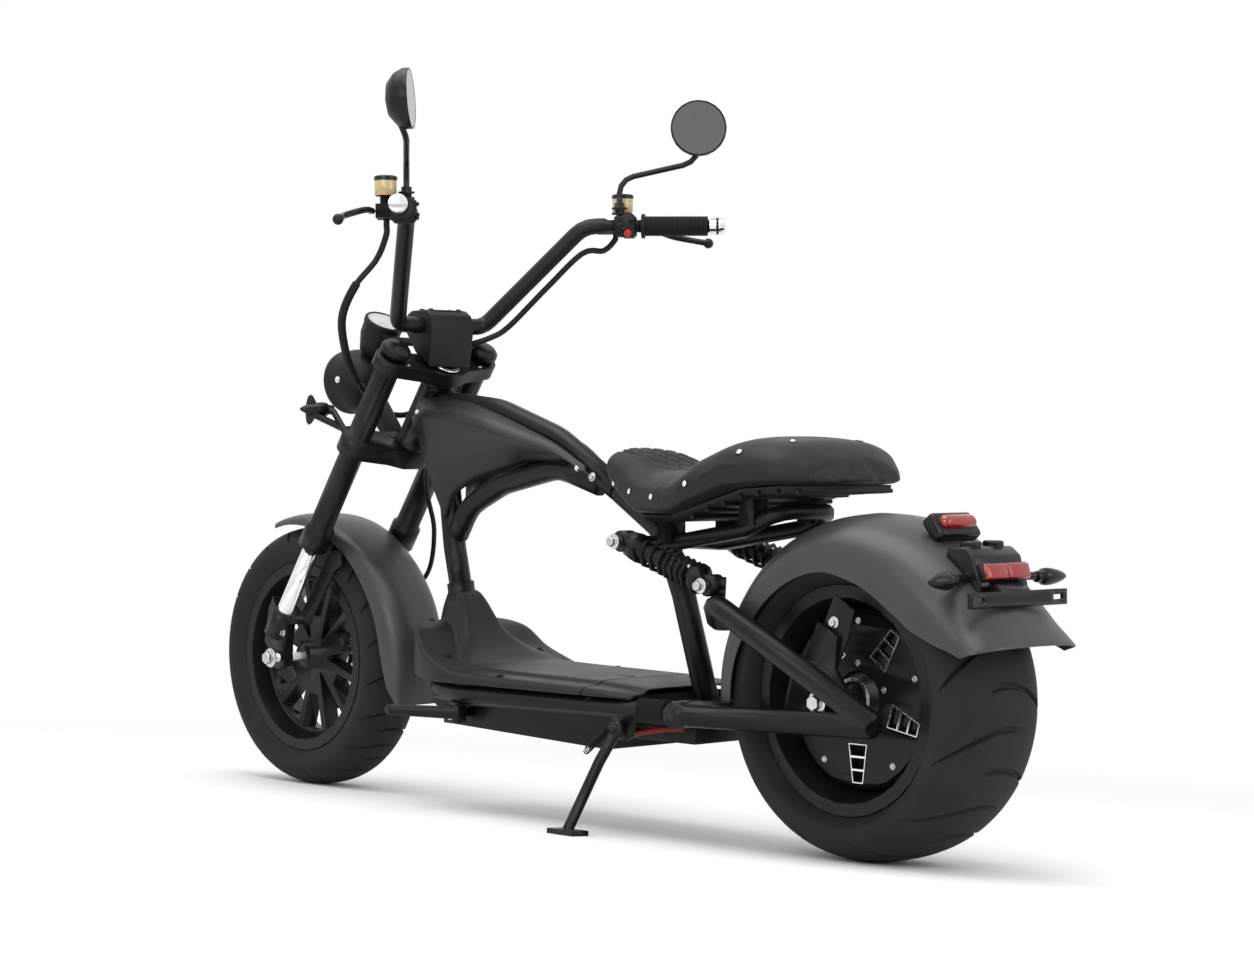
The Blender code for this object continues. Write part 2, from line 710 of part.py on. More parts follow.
def add_controls(side, word):
    """Master cylinder with its fluid pot, the lever and the switch block, held on the bar."""
    pivot = "steering_axis"
    ahead = Vector((1, 0, 0))
    axis = bar_direction(side)
    fore = (ahead - axis * ahead.dot(axis)).normalized()
    up = Vector((0, 0, 1))
    perch = bar_point(side, 0.150)
    turn = Matrix((fore, axis * side, up)).transposed().to_4x4()
    bore = rod("perch_bore", perch - axis * 0.06, perch + axis * 0.06,
               clear_of(BAR_END_R, 12), 12)
    block = box(f"controls_{word}", perch + axis * 0.006, (0.036, 0.034, 0.036), 0.004, turn)
    cylinder = box("cylinder", perch + fore * 0.030 - axis * 0.012, (0.030, 0.062, 0.022), 0.0,
                   turn)
    pot_base = perch + fore * 0.030
    pot = turned("fluid_pot", [(0.0, 0.056), (0.0165, 0.056), (0.0180, 0.053), (0.0180, 0.050),
                               (0.0165, 0.050), (0.0165, 0.024), (0.0090, 0.024), (0.0090, 0.0),
                               (0.0, 0.0)], along(up, pot_base), 12, closed=False)
    switch = box("switch", bar_point(side, 0.122 + 0.015), (0.040, 0.026, 0.040), 0.005, turn)
    register(cut(fuse(block, cylinder, pot, switch), bore), "black_plastic", pivot)
    hinge = perch + fore * (0.039 + LEVER_R + SEAT_GAP) + axis * 0.012
    tip = Vector(LEVER_TIP)
    tip.y *= side
    blade = rounded([hinge + fore * 0.006 - axis * 0.006, hinge + fore * 0.012 + axis * 0.040,
                     (hinge + tip) / 2 + fore * 0.020, tip], 0.04, 3)
    lever = tube(f"lever_{word}", blade, LEVER_R, 6)
    register(fuse(lever, ball("lever_ball", tip, 0.009, 8)), "black_alloy", pivot)


LEVER_TIP = (0.765, 0.401, 0.952)
LEVER_R = 0.0055
MIRROR_R = 0.0475
MIRROR_CENTRE = (0.697, 0.311, 1.140)
MIRROR_FACING = (-0.73, -0.68, 0.06)


def add_mirror(side, word):
    """A round mirror: a bowl with its glass, on a stem that stands on the control block."""
    pivot = "steering_axis"
    centre = Vector((MIRROR_CENTRE[0], side * MIRROR_CENTRE[1], MIRROR_CENTRE[2]))
    facing = Vector((MIRROR_FACING[0], side * MIRROR_FACING[1], MIRROR_FACING[2])).normalized()
    bowl = [(0.0, -0.0012), (MIRROR_R - 0.003, -0.0012), (MIRROR_R - 0.002, 0.0), (MIRROR_R, 0.0),
            (MIRROR_R, -0.010), (MIRROR_R * 0.86, -0.024), (MIRROR_R * 0.55, -0.036),
            (0.0, -0.041)]
    shell = turned(f"mirror_{word}", bowl, along(facing, centre), 20, closed=False)
    perch = bar_point(side, 0.150)
    back = centre - facing * 0.036
    foot = perch + Vector((0.0, -side * 0.004, 0.019))
    path = rounded([foot, foot + Vector((0, 0, 0.060)), back + Vector((-0.02, side * -0.02, -0.055)),
                    back], 0.03, 3)
    boss = rod("boss", foot + Vector((0, 0, 0.002)), foot + Vector((0, 0, 0.020)), 0.0085, 8)
    stem = tube("mirror_stem", path, 0.005, 6)
    register(fuse(shell, stem, boss), "satin_black", pivot)


def add_head_fittings():
    pivot = "steering_axis"
    add_riser(pivot)
    add_headlight(pivot)
    add_speedometer(pivot)


def clamp_top(fore):
    """A point on the upper clamp's top face, a seat gap above it, as x and z."""
    point = HEAD_POINT - STEER_UP * (UPPER_CLAMP_AT - UPPER_CLAMP_H / 2 - SEAT_GAP) + STEER_FORE * fore
    return point.x, point.z


RISER_HALF = 0.052
RISER_FRONT_TOP = (1.050, 0.800)


def add_riser(pivot):
    """The handlebar riser stands on the upper clamp and holds the bar's middle."""
    top_z = BAR_LOW[2] + 0.026
    outline = [clamp_top(-0.036), clamp_top(0.036), RISER_FRONT_TOP, (1.046, top_z - 0.004),
               (1.030, top_z), (0.975, top_z), (0.958, top_z - 0.012), (0.952, 0.790)]
    body = soften(as_mesh(plate("riser", outline, 2 * RISER_HALF, side_plane(0.0))), 0.004)
    bore = rod("riser_bore", (BAR_LOW[0], -0.09, BAR_LOW[2]), (BAR_LOW[0], 0.09, BAR_LOW[2]),
               clear_of(BAR_R, 12), 12)
    register(cut(body, bore), "black_plastic", pivot)


HEADLIGHT = (1.236, 0.0, 0.716)
HEADLIGHT_R = 0.062
LAMP_DIP = radians(6)


def add_headlight(pivot):
    """A round lamp shell on a bracket from the lower clamp, with its lens in front."""
    forward = Vector((cos(LAMP_DIP), 0, -sin(LAMP_DIP)))
    place = along(forward, HEADLIGHT)
    bowl = [(0.0, 0.042), (HEADLIGHT_R * 0.6, 0.039), (HEADLIGHT_R - 0.003, 0.034),
            (HEADLIGHT_R - 0.003, 0.036), (HEADLIGHT_R, 0.036), (HEADLIGHT_R, 0.010),
            (HEADLIGHT_R * 0.90, -0.022), (HEADLIGHT_R * 0.62, -0.050),
            (HEADLIGHT_R * 0.25, -0.062), (0.0, -0.064)]
    shell = turned("headlight", bowl, place, 20, closed=False)
    front = STEER_FORE * (FORK_OFFSET + 0.012 + SEAT_GAP)
    high = HEAD_POINT + front - STEER_UP * (LOWER_CLAMP_AT - 0.012)
    low = HEAD_POINT + front - STEER_UP * (LOWER_CLAMP_AT + 0.012)
    bracket = plate("lamp_bracket", [(high.x, high.z), (low.x, low.z), (1.212, 0.668),
                                     (1.198, 0.712)], 0.030, side_plane(0.0))
    register(fuse(shell, bracket), "black_plastic", pivot)


SPEEDO = (1.168, 0.0, 0.800)


def add_speedometer(pivot):
    """A round gauge in front of the riser, its face turned up to the rider."""
    up = Vector((-0.50, 0, 0.866))
    place = along(up, SPEEDO)
    pod = [(0.0, 0.018), (0.031, 0.018), (0.031, 0.020), (0.034, 0.020), (0.034, -0.010),
           (0.026, -0.040), (0.0, -0.044)]
    body = turned("speedometer", pod, place, 18, closed=False)
    low, high = Vector(clamp_top(0.036)), Vector(RISER_FRONT_TOP)
    out = Vector((high.y - low.y, low.x - high.x)).normalized() * SEAT_GAP
    arm = plate("gauge_arm", [low.lerp(high, 0.30) + out, low.lerp(high, 0.62) + out,
                              (1.160, 0.792), (1.160, 0.778)], 0.030, side_plane(0.0))
    register(fuse(body, arm), "black_plastic", pivot)


def front_indicators():
    """Leaf-shaped turn signals on short stalks from the lower clamp."""
    pieces = []
    for side, word in SIDES:
        root = HEAD_POINT - STEER_UP * LOWER_CLAMP_AT + STEER_FORE * 0.020
        root.y = side * 0.050
        tip = Vector((1.190, side * 0.150, 0.664))
        pieces.append(ball("indicator", tip, 0.030, 10, 0.42, (1, 0, 0.1)))
        pieces.append(rod("stalk", root, tip, 0.006, 8))
    return pieces


# Mudguards

# degrees round the axle from +X, crown radius, edge radius, half width
REAR_GUARD = ((-4, 0.2480, 0.2000, 0.1120), (16, 0.2490, 0.1940, 0.1145),
              (38, 0.2530, 0.1860, 0.1160), (60, 0.2600, 0.1850, 0.1165),
              (82, 0.2660, 0.1850, 0.1165), (104, 0.2690, 0.1780, 0.1165),
              (124, 0.2730, 0.1760, 0.1165), (142, 0.2800, 0.1850, 0.1165),
              (154, 0.2900, 0.2120, 0.1160), (163, 0.3050, 0.2550, 0.1150))
FRONT_GUARD = ((74, 0.2500, 0.2340, 0.0560), (92, 0.2535, 0.2330, 0.0625),
               (112, 0.2600, 0.2330, 0.0630), (130, 0.2670, 0.2340, 0.0630),
               (146, 0.2770, 0.2360, 0.0630), (160, 0.2860, 0.2400, 0.0630),
               (175, 0.2900, 0.2440, 0.0620), (188, 0.2910, 0.2600, 0.0600),
               (194, 0.2920, 0.2800, 0.0520))
# share of the half width, share of the drop from crown to edge
GUARD_SECTION = ((0.0, 0.0), (0.34, 0.035), (0.64, 0.14), (0.86, 0.33), (0.97, 0.60), (1.0, 1.0))


def add_guard(name, axle, table, grow=0.0, thickness=GUARD_T):
    """A mudguard: one section swept round the axle, deeper or flared as the table says."""
    rows = []
    for turn, crown, edge, half in table:
        row = []
        shares = [(-w, d) for w, d in reversed(GUARD_SECTION[1:])] + list(GUARD_SECTION)
        for wide, drop in shares:
            radius = crown + grow - (crown - edge) * drop
            row.append(axle + Vector((radius * cos(radians(turn)), (half + grow) * wide,
                                      radius * sin(radians(turn)))))
        rows.append(row)
    return sheet(name, rows, thickness, axle)


def add_mudguards():
    rear = add_guard("rear_mudguard", REAR_AXLE, REAR_GUARD)
    tongues = []
    outline = [(0.012, 0.428), (-0.062, 0.418), (-0.050, 0.362), (-0.014, 0.292),
               (0.040, 0.300), (0.006, 0.384)]
    for side, word in SIDES:
        tongues.append(plate("tongue", outline, 0.004, side_plane(side * 0.1122)))
    register(fuse(rear, *tongues), "graphite", "bike_frame")
    front = add_guard("front_mudguard", FRONT_AXLE, FRONT_GUARD)
    register(front, "graphite", "steering_axis")


# Chassis

def head_tube(name, grow=0.0, bored=True):
    """The head tube between the two clamps, with a bearing cup at each end."""
    low = HEAD_POINT - STEER_UP * (LOWER_CLAMP_AT - 0.017 - BEARING_GAP)
    high = HEAD_POINT - STEER_UP * (UPPER_CLAMP_AT + 0.012 + BEARING_GAP)
    length = (high - low).length
    cup, wall = HEAD_TUBE_R + 0.004 + grow, HEAD_TUBE_R + grow
    profile = [(cup, grow), (cup, -0.014 - grow), (wall, -0.016 - grow),
               (wall, -length + 0.016 + grow), (cup, -length + 0.014 + grow),
               (cup, -length - grow)]
    if bored:
        profile += [(clear_of(STEM_R, 16), -length), (clear_of(STEM_R, 16), 0.0)]
    else:
        profile = [(0.0, grow), *profile, (0.0, -length - grow)]
    return turned(name, profile, along(STEER_UP, high), 16, closed=bored)


BEARING_GAP = 0.0010


def down_tube(name, radius, low_z=0.205):
    path = [(1.040, 0, 0.648), (0.985, 0, 0.560), (0.967, 0, 0.430), (0.945, 0, 0.340),
            (0.945 - (0.340 - low_z) * 0.14, 0, low_z)]
    return tube(name, rounded(path, 0.12, 3), radius, 10)


def add_frame():
    clear = rod("stem_clear", HEAD_POINT - STEER_UP * 0.25, HEAD_POINT, clear_of(STEM_R, 16), 16)
    clear.matrix_basis = clear.matrix_basis @ Matrix.Rotation(pi / 2, 4, "Z")
    sleeve = rod("sleeve", SLEEVE_TOP, SLEEVE_LOW, SLEEVE_R, 16)
    front = fuse(head_tube("frame_front", bored=False), down_tube("down_tube", MAIN_TUBE_R), sleeve)
    register(cut(front, clear), "satin_black")

    grown = SEAT_GAP + 0.0004
    top = tube("frame_spine", rounded([(1.040, 0, 0.682), (0.985, 0, 0.676), (0.850, 0, 0.662),
                                       (0.700, 0, 0.614), (0.560, 0, 0.532)], 0.20, 3),
               MAIN_TUBE_R, 10)
    arch = tube("frame_arch", rounded([(0.960, 0, 0.452), (0.928, 0, 0.502), (0.840, 0, 0.540),
                                       (0.700, 0, 0.568), (0.600, 0, 0.540)], 0.12, 3),
                MAIN_TUBE_R, 10)
    spine = cut(fuse(top, arch), head_tube("head_keep", grown, bored=False),
                down_tube("down_keep", MAIN_TUBE_R + grown))
    register(spine, "satin_black")


def seat_post(name, radius, low_z=0.205):
    path = [(0.5555, 0, 0.529), (0.455, 0, 0.468), (0.412, 0, 0.372),
            (0.412 - (0.372 - low_z) * 0.323, 0, low_z)]
    return tube(name, rounded(path, 0.08, 3), radius, 10)


def seat_loop(name, radius):
    half = [(0.452, 0.0135, 0.456), (0.385, 0.062, 0.452), (0.215, 0.062, 0.478),
            (0.150, 0.062, 0.505)]
    other = [(x, -y, z) for x, y, z in half]
    return tube(name, rounded([*half, *other[::-1]], 0.03, 3), radius, 8)


def add_seat_frame():
    """The seat post, the loop under the seat and the studs of the two shock absorbers."""
    post = seat_post("frame_seat_post", MAIN_TUBE_R)
    loop = seat_loop("seat_loop", LOOP_R)
    stud = rod("shock_stud", (SHOCK_TOP[0], -SHOCK_Y - 0.024, SHOCK_TOP[1]),
               (SHOCK_TOP[0], SHOCK_Y + 0.024, SHOCK_TOP[1]), 0.0075, 12)
    register(fuse(post, loop, stud), "satin_black")


def add_rails():
    """Two side rails that meet the down tube, with cross tubes and the arm's pivot tube."""
    rails = []
    for side, word in SIDES:
        path = rounded([(0.935, side * 0.022, 0.222), (0.880, side * 0.112, 0.206),
                        (0.800, side * RAIL_Y, RAIL_Z), (RAIL_REAR_X, side * RAIL_Y, RAIL_Z)],
                       0.06, 3)
        rails.append(tube("rail", path, RAIL_R, 10))
    front = rod("cross_front", (0.926, -0.035, 0.222), (0.926, 0.035, 0.222), RAIL_R, 12)
    rear = rod("cross_rear", (0.352, -RAIL_Y, RAIL_Z), (0.352, RAIL_Y, RAIL_Z), 0.015, 12)
    rails[0].name = "frame_rails"
    keep = down_tube("down_tube_keep", MAIN_TUBE_R + SEAT_GAP + 0.0004, 0.180)
    post_keep = seat_post("post_keep", MAIN_TUBE_R + SEAT_GAP + 0.0004, 0.180)
    pivot = rod("pivot_tube", (PIVOT_X, -0.104, PIVOT_Z), (PIVOT_X, 0.104, PIVOT_Z), PIVOT_R, 16)
    lugs = [box("lug", (0.312, side * 0.096, 0.203), (0.084, 0.014, 0.024)) for side in (1, -1)]
    outline = [(0.376, 0.206), (0.432, 0.206), (0.422, 0.162), (0.402, 0.154), (0.384, 0.162)]
    bracket = plate("stand_bracket", outline, 0.006, side_plane(STAND_PLATE_Y))
    pin = rod("stand_pin", Vector(STAND_PIVOT) - stand_axis() * 0.016,
              Vector(STAND_PIVOT) + stand_axis() * 0.014, STAND_PIN_R, 12)
    register(cut(fuse(rails[0], rails[1], front, rear, pivot, bracket, pin, *lugs), keep,
                 post_keep), "satin_black")


def add_swing_arm():
    """Each side is a V of two tubes whose tip lies behind the axle; a cross tube joins them."""
    corner_x, corner_z = ARM_CORNER
    tip_x, tip_z = ARM_TIP
    cross_x, cross_y, cross_z = ARM_CROSS
    half = [(cross_x, cross_y, cross_z), (corner_x, ARM_Y, corner_z),
            (tip_x, ARM_Y, tip_z + 0.002)]
    other = [(x, -y, z) for x, y, z in half]
    upper = tube("swing_arm", rounded([*half[::-1], *other], 0.040, 3), ARM_R, 10)
    pieces = []
    for side, word in SIDES:
        pieces.append(rod("lower", (tip_x + 0.004, side * ARM_Y, tip_z),
                          (PIVOT_X, side * ARM_Y, PIVOT_Z), ARM_R, 10))
        pieces.append(rod("bush", (PIVOT_X, side * 0.1045, PIVOT_Z),
                          (PIVOT_X, side * 0.1595, PIVOT_Z), PIVOT_R + 0.002, 16))
        outline = [(0.080, 0.214), (0.060, 0.290), (0.036, 0.300), (0.012, 0.352),
                   (-0.026, 0.332), (-0.020, 0.286), (-0.052, 0.244), (-0.075, 0.222),
                   (-0.030, 0.196), (0.060, 0.196)]
        pieces.append(plate("axle_plate", outline, AXLE_PLATE_T,
                            side_plane(side * (AXLE_PLATE_Y + AXLE_PLATE_T / 2))))
        tab = [(cross_x - 0.006, cross_z + 0.010), (SHOCK_LOW[0] + 0.012, SHOCK_LOW[1] - 0.004),
               (SHOCK_LOW[0] + 0.010, SHOCK_LOW[1] + 0.012),
               (SHOCK_LOW[0] - 0.010, SHOCK_LOW[1] + 0.012), (cross_x - 0.032, cross_z + 0.010)]
        pieces.append(plate("tab", tab, 0.006, side_plane(side * (SHOCK_Y - 0.017))))
        pieces.append(rod("low_stud", (SHOCK_LOW[0], side * (SHOCK_Y - 0.018), SHOCK_LOW[1]),
                          (SHOCK_LOW[0], side * (SHOCK_Y + 0.018), SHOCK_LOW[1]), 0.0065, 12))
    bore = rod("axle_bore", (0, -0.2, REAR_AXLE.z), (0, 0.2, REAR_AXLE.z), clear_of(AXLE_R, 16), 16)
    register(cut(fuse(upper, *pieces), bore), "satin_black")
    axle = rod("rear_axle", (0, -0.142, REAR_AXLE.z), (0, 0.142, REAR_AXLE.z), AXLE_R, 16)
    nuts = [rod("nut", (0, side * (AXLE_PLATE_Y + AXLE_PLATE_T + SEAT_GAP), REAR_AXLE.z),
                (0, side * 0.136, REAR_AXLE.z), 0.0102, 6) for side in (1, -1)]
    collars = [rod("collar", (0, side * (MOTOR_BOSS + 0.0006), REAR_AXLE.z),
                   (0, side * (AXLE_PLATE_Y - SEAT_GAP), REAR_AXLE.z), 0.0125, 12)
               for side in (1, -1)]
    register(fuse(axle, *nuts, *collars), "alloy")


def add_shocks():
    """Coil-over shock absorbers: a damper with two eyes, and the spring wound round it."""
    for side, word in SIDES:
        y = side * SHOCK_Y
        top = Vector((SHOCK_TOP[0], y, SHOCK_TOP[1]))
        low = Vector((SHOCK_LOW[0], y, SHOCK_LOW[1]))
        line = (top - low).normalized()
        length = (top - low).length
        place = along(line, low)
        damper = turned(f"shock_{word}",
                        [(0.0, length - 0.012), (0.020, length - 0.014), (0.0225, length - 0.030),
                         (0.0225, length - 0.034), (0.0150, length - 0.036),
                         (0.0150, length - 0.090), (0.0070, length - 0.092), (0.0070, 0.034),
                         (0.0240, 0.032), (0.0240, 0.026), (0.0120, 0.020), (0.0, 0.014)],
                        place, 14, closed=False)
        eyes = []
        for centre, bore in ((top, 0.0075), (low, 0.0065)):
            eyes.append(rod("eye", centre - Vector((0, 0.012, 0)), centre + Vector((0, 0.012, 0)),
                            0.0165, 16))
        bores = [rod("eye_bore", top - Vector((0, 0.05, 0)), top + Vector((0, 0.05, 0)),
                     0.0075 + SEAT_GAP, 12),
                 rod("eye_bore", low - Vector((0, 0.05, 0)), low + Vector((0, 0.05, 0)),
                     0.0065 + SEAT_GAP, 12)]
        register(cut(fuse(damper, *eyes), *bores), "satin_black")
        add_spring(word, place, 0.032 + SEAT_GAP, length - 0.034 - SEAT_GAP)


SPRING_TURNS = 8
CLOSE_TURNS = 5
TURN_POINTS = 7


def add_spring(word, place, low, high):
    """A progressive spring: close turns at the wheel end, wide ones above."""
    close_pitch = 2 * COIL_WIRE_R + 0.0062
    start, end = low + 1.12 * COIL_WIRE_R, high - 1.12 * COIL_WIRE_R
    wide_pitch = (end - start - CLOSE_TURNS * close_pitch) / (SPRING_TURNS - CLOSE_TURNS)
    path = []
    for step in range(SPRING_TURNS * TURN_POINTS + 1):
        turns = step / TURN_POINTS
        rise = min(turns, CLOSE_TURNS) * close_pitch + max(0, turns - CLOSE_TURNS) * wide_pitch
        angle = 2 * pi * turns
        path.append(place @ Vector((COIL_R * cos(angle), COIL_R * sin(angle), start + rise)))
    register(tube(f"spring_{word}", path, COIL_WIRE_R, 6), "satin_black")


def add_tank_covers():
    """Two skins either side of the frame's triangle, ridged along their shoulder."""
    # top edge x, y, z; ridge x, y, z; lower edge x, z
    table = ((1.018, 0.0330, 0.686, 1.012, 0.058, 0.652, 0.966, 0.478),
             (0.980, 0.0280, 0.684, 0.965, 0.070, 0.648, 0.940, 0.518),
             (0.920, 0.0225, 0.678, 0.900, 0.073, 0.642, 0.885, 0.544),
             (0.840, 0.0225, 0.660, 0.822, 0.070, 0.630, 0.812, 0.562),
             (0.760, 0.0225, 0.634, 0.745, 0.060, 0.610, 0.738, 0.578),
             (0.685, 0.0225, 0.606, 0.674, 0.044, 0.594, 0.668, 0.578),
             (0.615, 0.0225, 0.566, 0.608, 0.030, 0.560, 0.600, 0.552))
    low_y = 0.0225
    for side, word in SIDES:
        rows = []
        for top_x, top_y, top_z, ridge_x, ridge_y, ridge_z, low_x, low_z in table:
            points = ((top_x, top_y, top_z),
                      ((top_x + ridge_x) / 2, ridge_y * 0.76, (top_z + ridge_z) / 2 + 0.006),
                      (ridge_x, ridge_y, ridge_z),
                      ((ridge_x + low_x) / 2, 0.62 * ridge_y + 0.38 * low_y, (ridge_z + low_z) / 2),
                      (low_x, low_y, low_z))
            rows.append([Vector((x, side * y, z)) for x, y, z in points])
        cover = sheet(f"tank_cover_{word}", rows, 0.0025, (0.9, 0, 0.6))
        register(cover, "graphite")


def deck_section(x, crown, shoulder, half, step_half, edge_z):
    """Half outline of the foot deck at one x, from the middle to the lower outer edge."""
    step_z = shoulder - 0.008
    half_points = [(0.0, crown), (step_half * 0.6, crown), (step_half, shoulder),
                   (step_half + 0.004, step_z + 0.001), (half - 0.010, step_z),
                   (half, (step_z + edge_z) / 2), (half, edge_z)]
    left = [Vector((x, y, z)) for y, z in reversed(half_points)]
    right = [Vector((x, -y, z)) for y, z in half_points[1:]]
    return left + right


def add_deck():
    """The moulded foot deck: a hood that climbs the down tube, a flat tread and a rear lid."""
    # x, crown z, shoulder z, half width, half width of the raised tread, lower edge z
    hood = ((0.985, 0.330, 0.300, 0.060, 0.020, 0.2450), (0.960, 0.365, 0.318, 0.090, 0.026, 0.2300),
            (0.925, 0.358, 0.308, 0.122, 0.034, 0.2230), (0.885, 0.300, 0.275, 0.138, 0.060, 0.2200),
            (0.840, 0.262, 0.256, DECK_HALF, 0.092, DECK_EDGE_Z),
            (DECK_FLAT_X, DECK_TOP_Z, 0.2455, DECK_HALF, 0.100, DECK_EDGE_Z),
            (DECK_SEAM_X + SEAT_GAP, DECK_TOP_Z - 0.006, 0.2395, DECK_HALF, 0.100, DECK_EDGE_Z))
    rear = ((DECK_SEAM_X - SEAT_GAP, DECK_TOP_Z - 0.006, 0.2395, DECK_HALF, 0.100, DECK_EDGE_Z),
            (DECK_REAR_X + 0.030, DECK_TOP_Z - 0.010, 0.2355, DECK_HALF - 0.004, 0.100, DECK_EDGE_Z),
            (DECK_REAR_X, DECK_TOP_Z - 0.014, 0.2315, DECK_HALF - 0.012, 0.096, DECK_EDGE_Z))
    sleeve_line = Vector(SLEEVE_TOP) - Vector(SLEEVE_LOW)
    sleeve_hole = rod("sleeve_hole", Vector(SLEEVE_LOW) - sleeve_line, Vector(SLEEVE_TOP) + sleeve_line,
                      clear_of(SLEEVE_R, 16), 16)
    front = sheet("deck_front", [deck_section(*row) for row in hood], 0.003, (0.7, 0, 0))
    register(cut(front, sleeve_hole), "black_plastic")
    register(sheet("deck_rear", [deck_section(*row) for row in rear], 0.003, (0.4, 0, 0)),
             "black_plastic")


def add_battery_box():
    """An open tray under the deck, cut down in front where the rails close in on it."""
    outline = [(BOX_REAR_X, BOX_TOP_Z), (BOX_REAR_X, BOX_LOW_Z + 0.012),
               (BOX_REAR_X + 0.010, BOX_LOW_Z), (0.850, BOX_LOW_Z + 0.014),
               (BOX_FRONT_X, BOX_NOSE_Z), (0.850, BOX_NOSE_Z), (0.826, BOX_TOP_Z)]
    outer = plate("battery_box", outline, 2 * BOX_HALF, side_plane(0.0))
    wall = BOX_WALL
    inner = [(BOX_REAR_X + wall, BOX_TOP_Z + 0.02), (BOX_REAR_X + wall, BOX_LOW_Z + 0.013),
             (BOX_REAR_X + 0.012, BOX_LOW_Z + wall), (0.849, BOX_LOW_Z + 0.014 + wall),
             (0.826 - wall, BOX_TOP_Z + 0.02)]
    hollow = plate("box_hollow", inner, 2 * (BOX_HALF - wall), side_plane(0.0))
    register(cut(outer, hollow), "satin_black")
    low, high = Vector((inner[2][0], 0, inner[2][1])), Vector((inner[3][0], 0, inner[3][1]))
    slope = Matrix.Rotation(-atan2(high.z - low.z, high.x - low.x), 4, "Y")
    up = slope @ Vector((0, 0, 1))
    centre = (low + high) / 2 + up * (PACK_SIZE[2] / 2 + SEAT_GAP)
    register(box("battery_pack", centre, PACK_SIZE, 0.0, slope), "black_plastic")


PACK_SIZE = (0.320, 0.160, 0.058)
BOX_TOP_Z = 0.2140
BOX_NOSE_Z = 0.1840


# x, top z, underside z, half width
SEAT = ((0.548, 0.592, 0.566, 0.030), (0.510, 0.602, 0.548, 0.072),
        (0.460, 0.590, 0.520, 0.098), (0.400, 0.562, 0.498, 0.122),
        (0.330, 0.560, 0.498, 0.140), (0.250, 0.590, 0.518, 0.150),
        (0.170, 0.612, 0.540, 0.150), (0.100, 0.606, 0.545, 0.138),
        (0.055, 0.580, 0.545, 0.105), (0.034, 0.560, 0.548, 0.060))
PAN_T = 0.010
PAN_SHARE = 0.78


def ring_of(x, half_points):
    """A closed section across the scooter, mirrored from its left half, top to bottom."""
    points = [Vector((x, y, z)) for y, z in half_points]
    return points + [Vector((x, -y, z)) for y, z in reversed(half_points[1:-1])]


def add_seat():
    """Saddle cushion as a plain closed solid: nose, dip and the wide rear pad."""
    sections = []
    for x, top, low, half in SEAT:
        shape = ((0.0, 1.0), (0.55, 0.96), (0.86, 0.70), (1.0, 0.34), (0.94, 0.0), (0.5, 0.0),
                 (0.0, 0.0))
        sections.append(ring_of(x, [(half * y, low + (top - low) * z) for y, z in shape]))
    register(lofted("seat", sections), "black_leather")
    rings = []
    for x, top, low, half in SEAT[1:-1]:
        high, wide = low - SEAT_GAP, half * PAN_SHARE
        rings.append(ring_of(x, [(0.0, high), (wide, high), (wide * 0.96, high - PAN_T),
                                 (0.0, high - PAN_T)]))
    pan = lofted("seat_pan", rings)
    blocks = [box("pan_block", (x, side * 0.062, z), (0.030, 0.030, 0.040))
              for x, z in ((0.375, 0.474), (0.200, 0.505)) for side in (LEFT, RIGHT)]
    keep = seat_loop("loop_keep", LOOP_R + SEAT_GAP + 0.0002)
    register(cut(fuse(pan, *blocks), keep), "black_plastic")


def on_guard(*pieces):
    """Pieces joined into one that sits on the rear mudguard's crown."""
    seat = add_guard("guard_keep", REAR_AXLE, REAR_GUARD, SEAT_GAP + 0.0003, 0.060)
    return cut(fuse(*pieces), seat)


def add_tail():
    """The tail lamp on the mudguard, the plate bracket, its reflector and the indicators."""
    slope = Matrix.Rotation(radians(-28), 4, "Y")
    base = box("tail_lamp", (-0.127, 0, 0.485), (0.072, 0.086, 0.030), 0.006, slope)
    lens = box("tail_lens", (-0.1340, 0, 0.5010), (0.060, 0.076, 0.016), 0.004, slope)
    register(on_guard(base, lens), "black_plastic")
    outline = [(-0.168, 0.4655), (-0.200, 0.463), (-0.218, 0.450), (-0.232, 0.406),
               (-0.222, 0.390), (-0.178, 0.398), (-0.160, 0.430)]
    bracket = plate("plate_bracket", outline, 2 * PLATE_BLOCK_HALF, side_plane(0.0))
    tongue = plate("plate_tongue", [(-0.226, 0.422), (-0.256, 0.402), (-0.256, 0.382),
                                    (-0.236, 0.370), (-0.212, 0.395)], 0.060, side_plane(0.0))
    bar = box("plate_bar", (-0.253, 0, 0.391), (0.006, 2 * PLATE_BAR_HALF, 0.022))
    reflector = box("reflector", (-0.2290, 0, 0.428), (0.014, 0.098, 0.023), 0.002,
                    Matrix.Rotation(radians(17), 4, "Y"))
    signals = []
    for side, word in SIDES:
        tip = Vector((-0.212, side * 0.122, 0.418))
        signals.append(ball("indicator", tip, 0.0225, 10, 0.62, (1, 0, 0.1)))
        signals.append(rod("stalk", (-0.200, side * 0.055, 0.420), tip, 0.006, 8))
    register(on_guard(bracket, tongue, bar, reflector, *signals), "black_plastic")


PLATE_BLOCK_HALF = 0.064
PLATE_BAR_HALF = 0.104
STAND_LEG_R = 0.0085
STAND_PIN_R = 0.006
STAND_PLATE_Y = 0.134


def lowest_point(profile, axle_z):
    """Height of a leaning wheel's lowest corner above the upright frame's ground."""
    return min((axle_z - radius * cos(pi / TYRE_FACETS)) * cos(LEAN) - abs(across) * sin(LEAN)
               for radius, across in profile)


def floor_height(y):
    """Height, in the upright frame, of the floor as it meets the leaning scooter."""
    rear = lowest_point(tyre_profile(*REAR_TYRE), REAR_AXLE.z)
    return (rear + y * sin(LEAN)) / cos(LEAN)


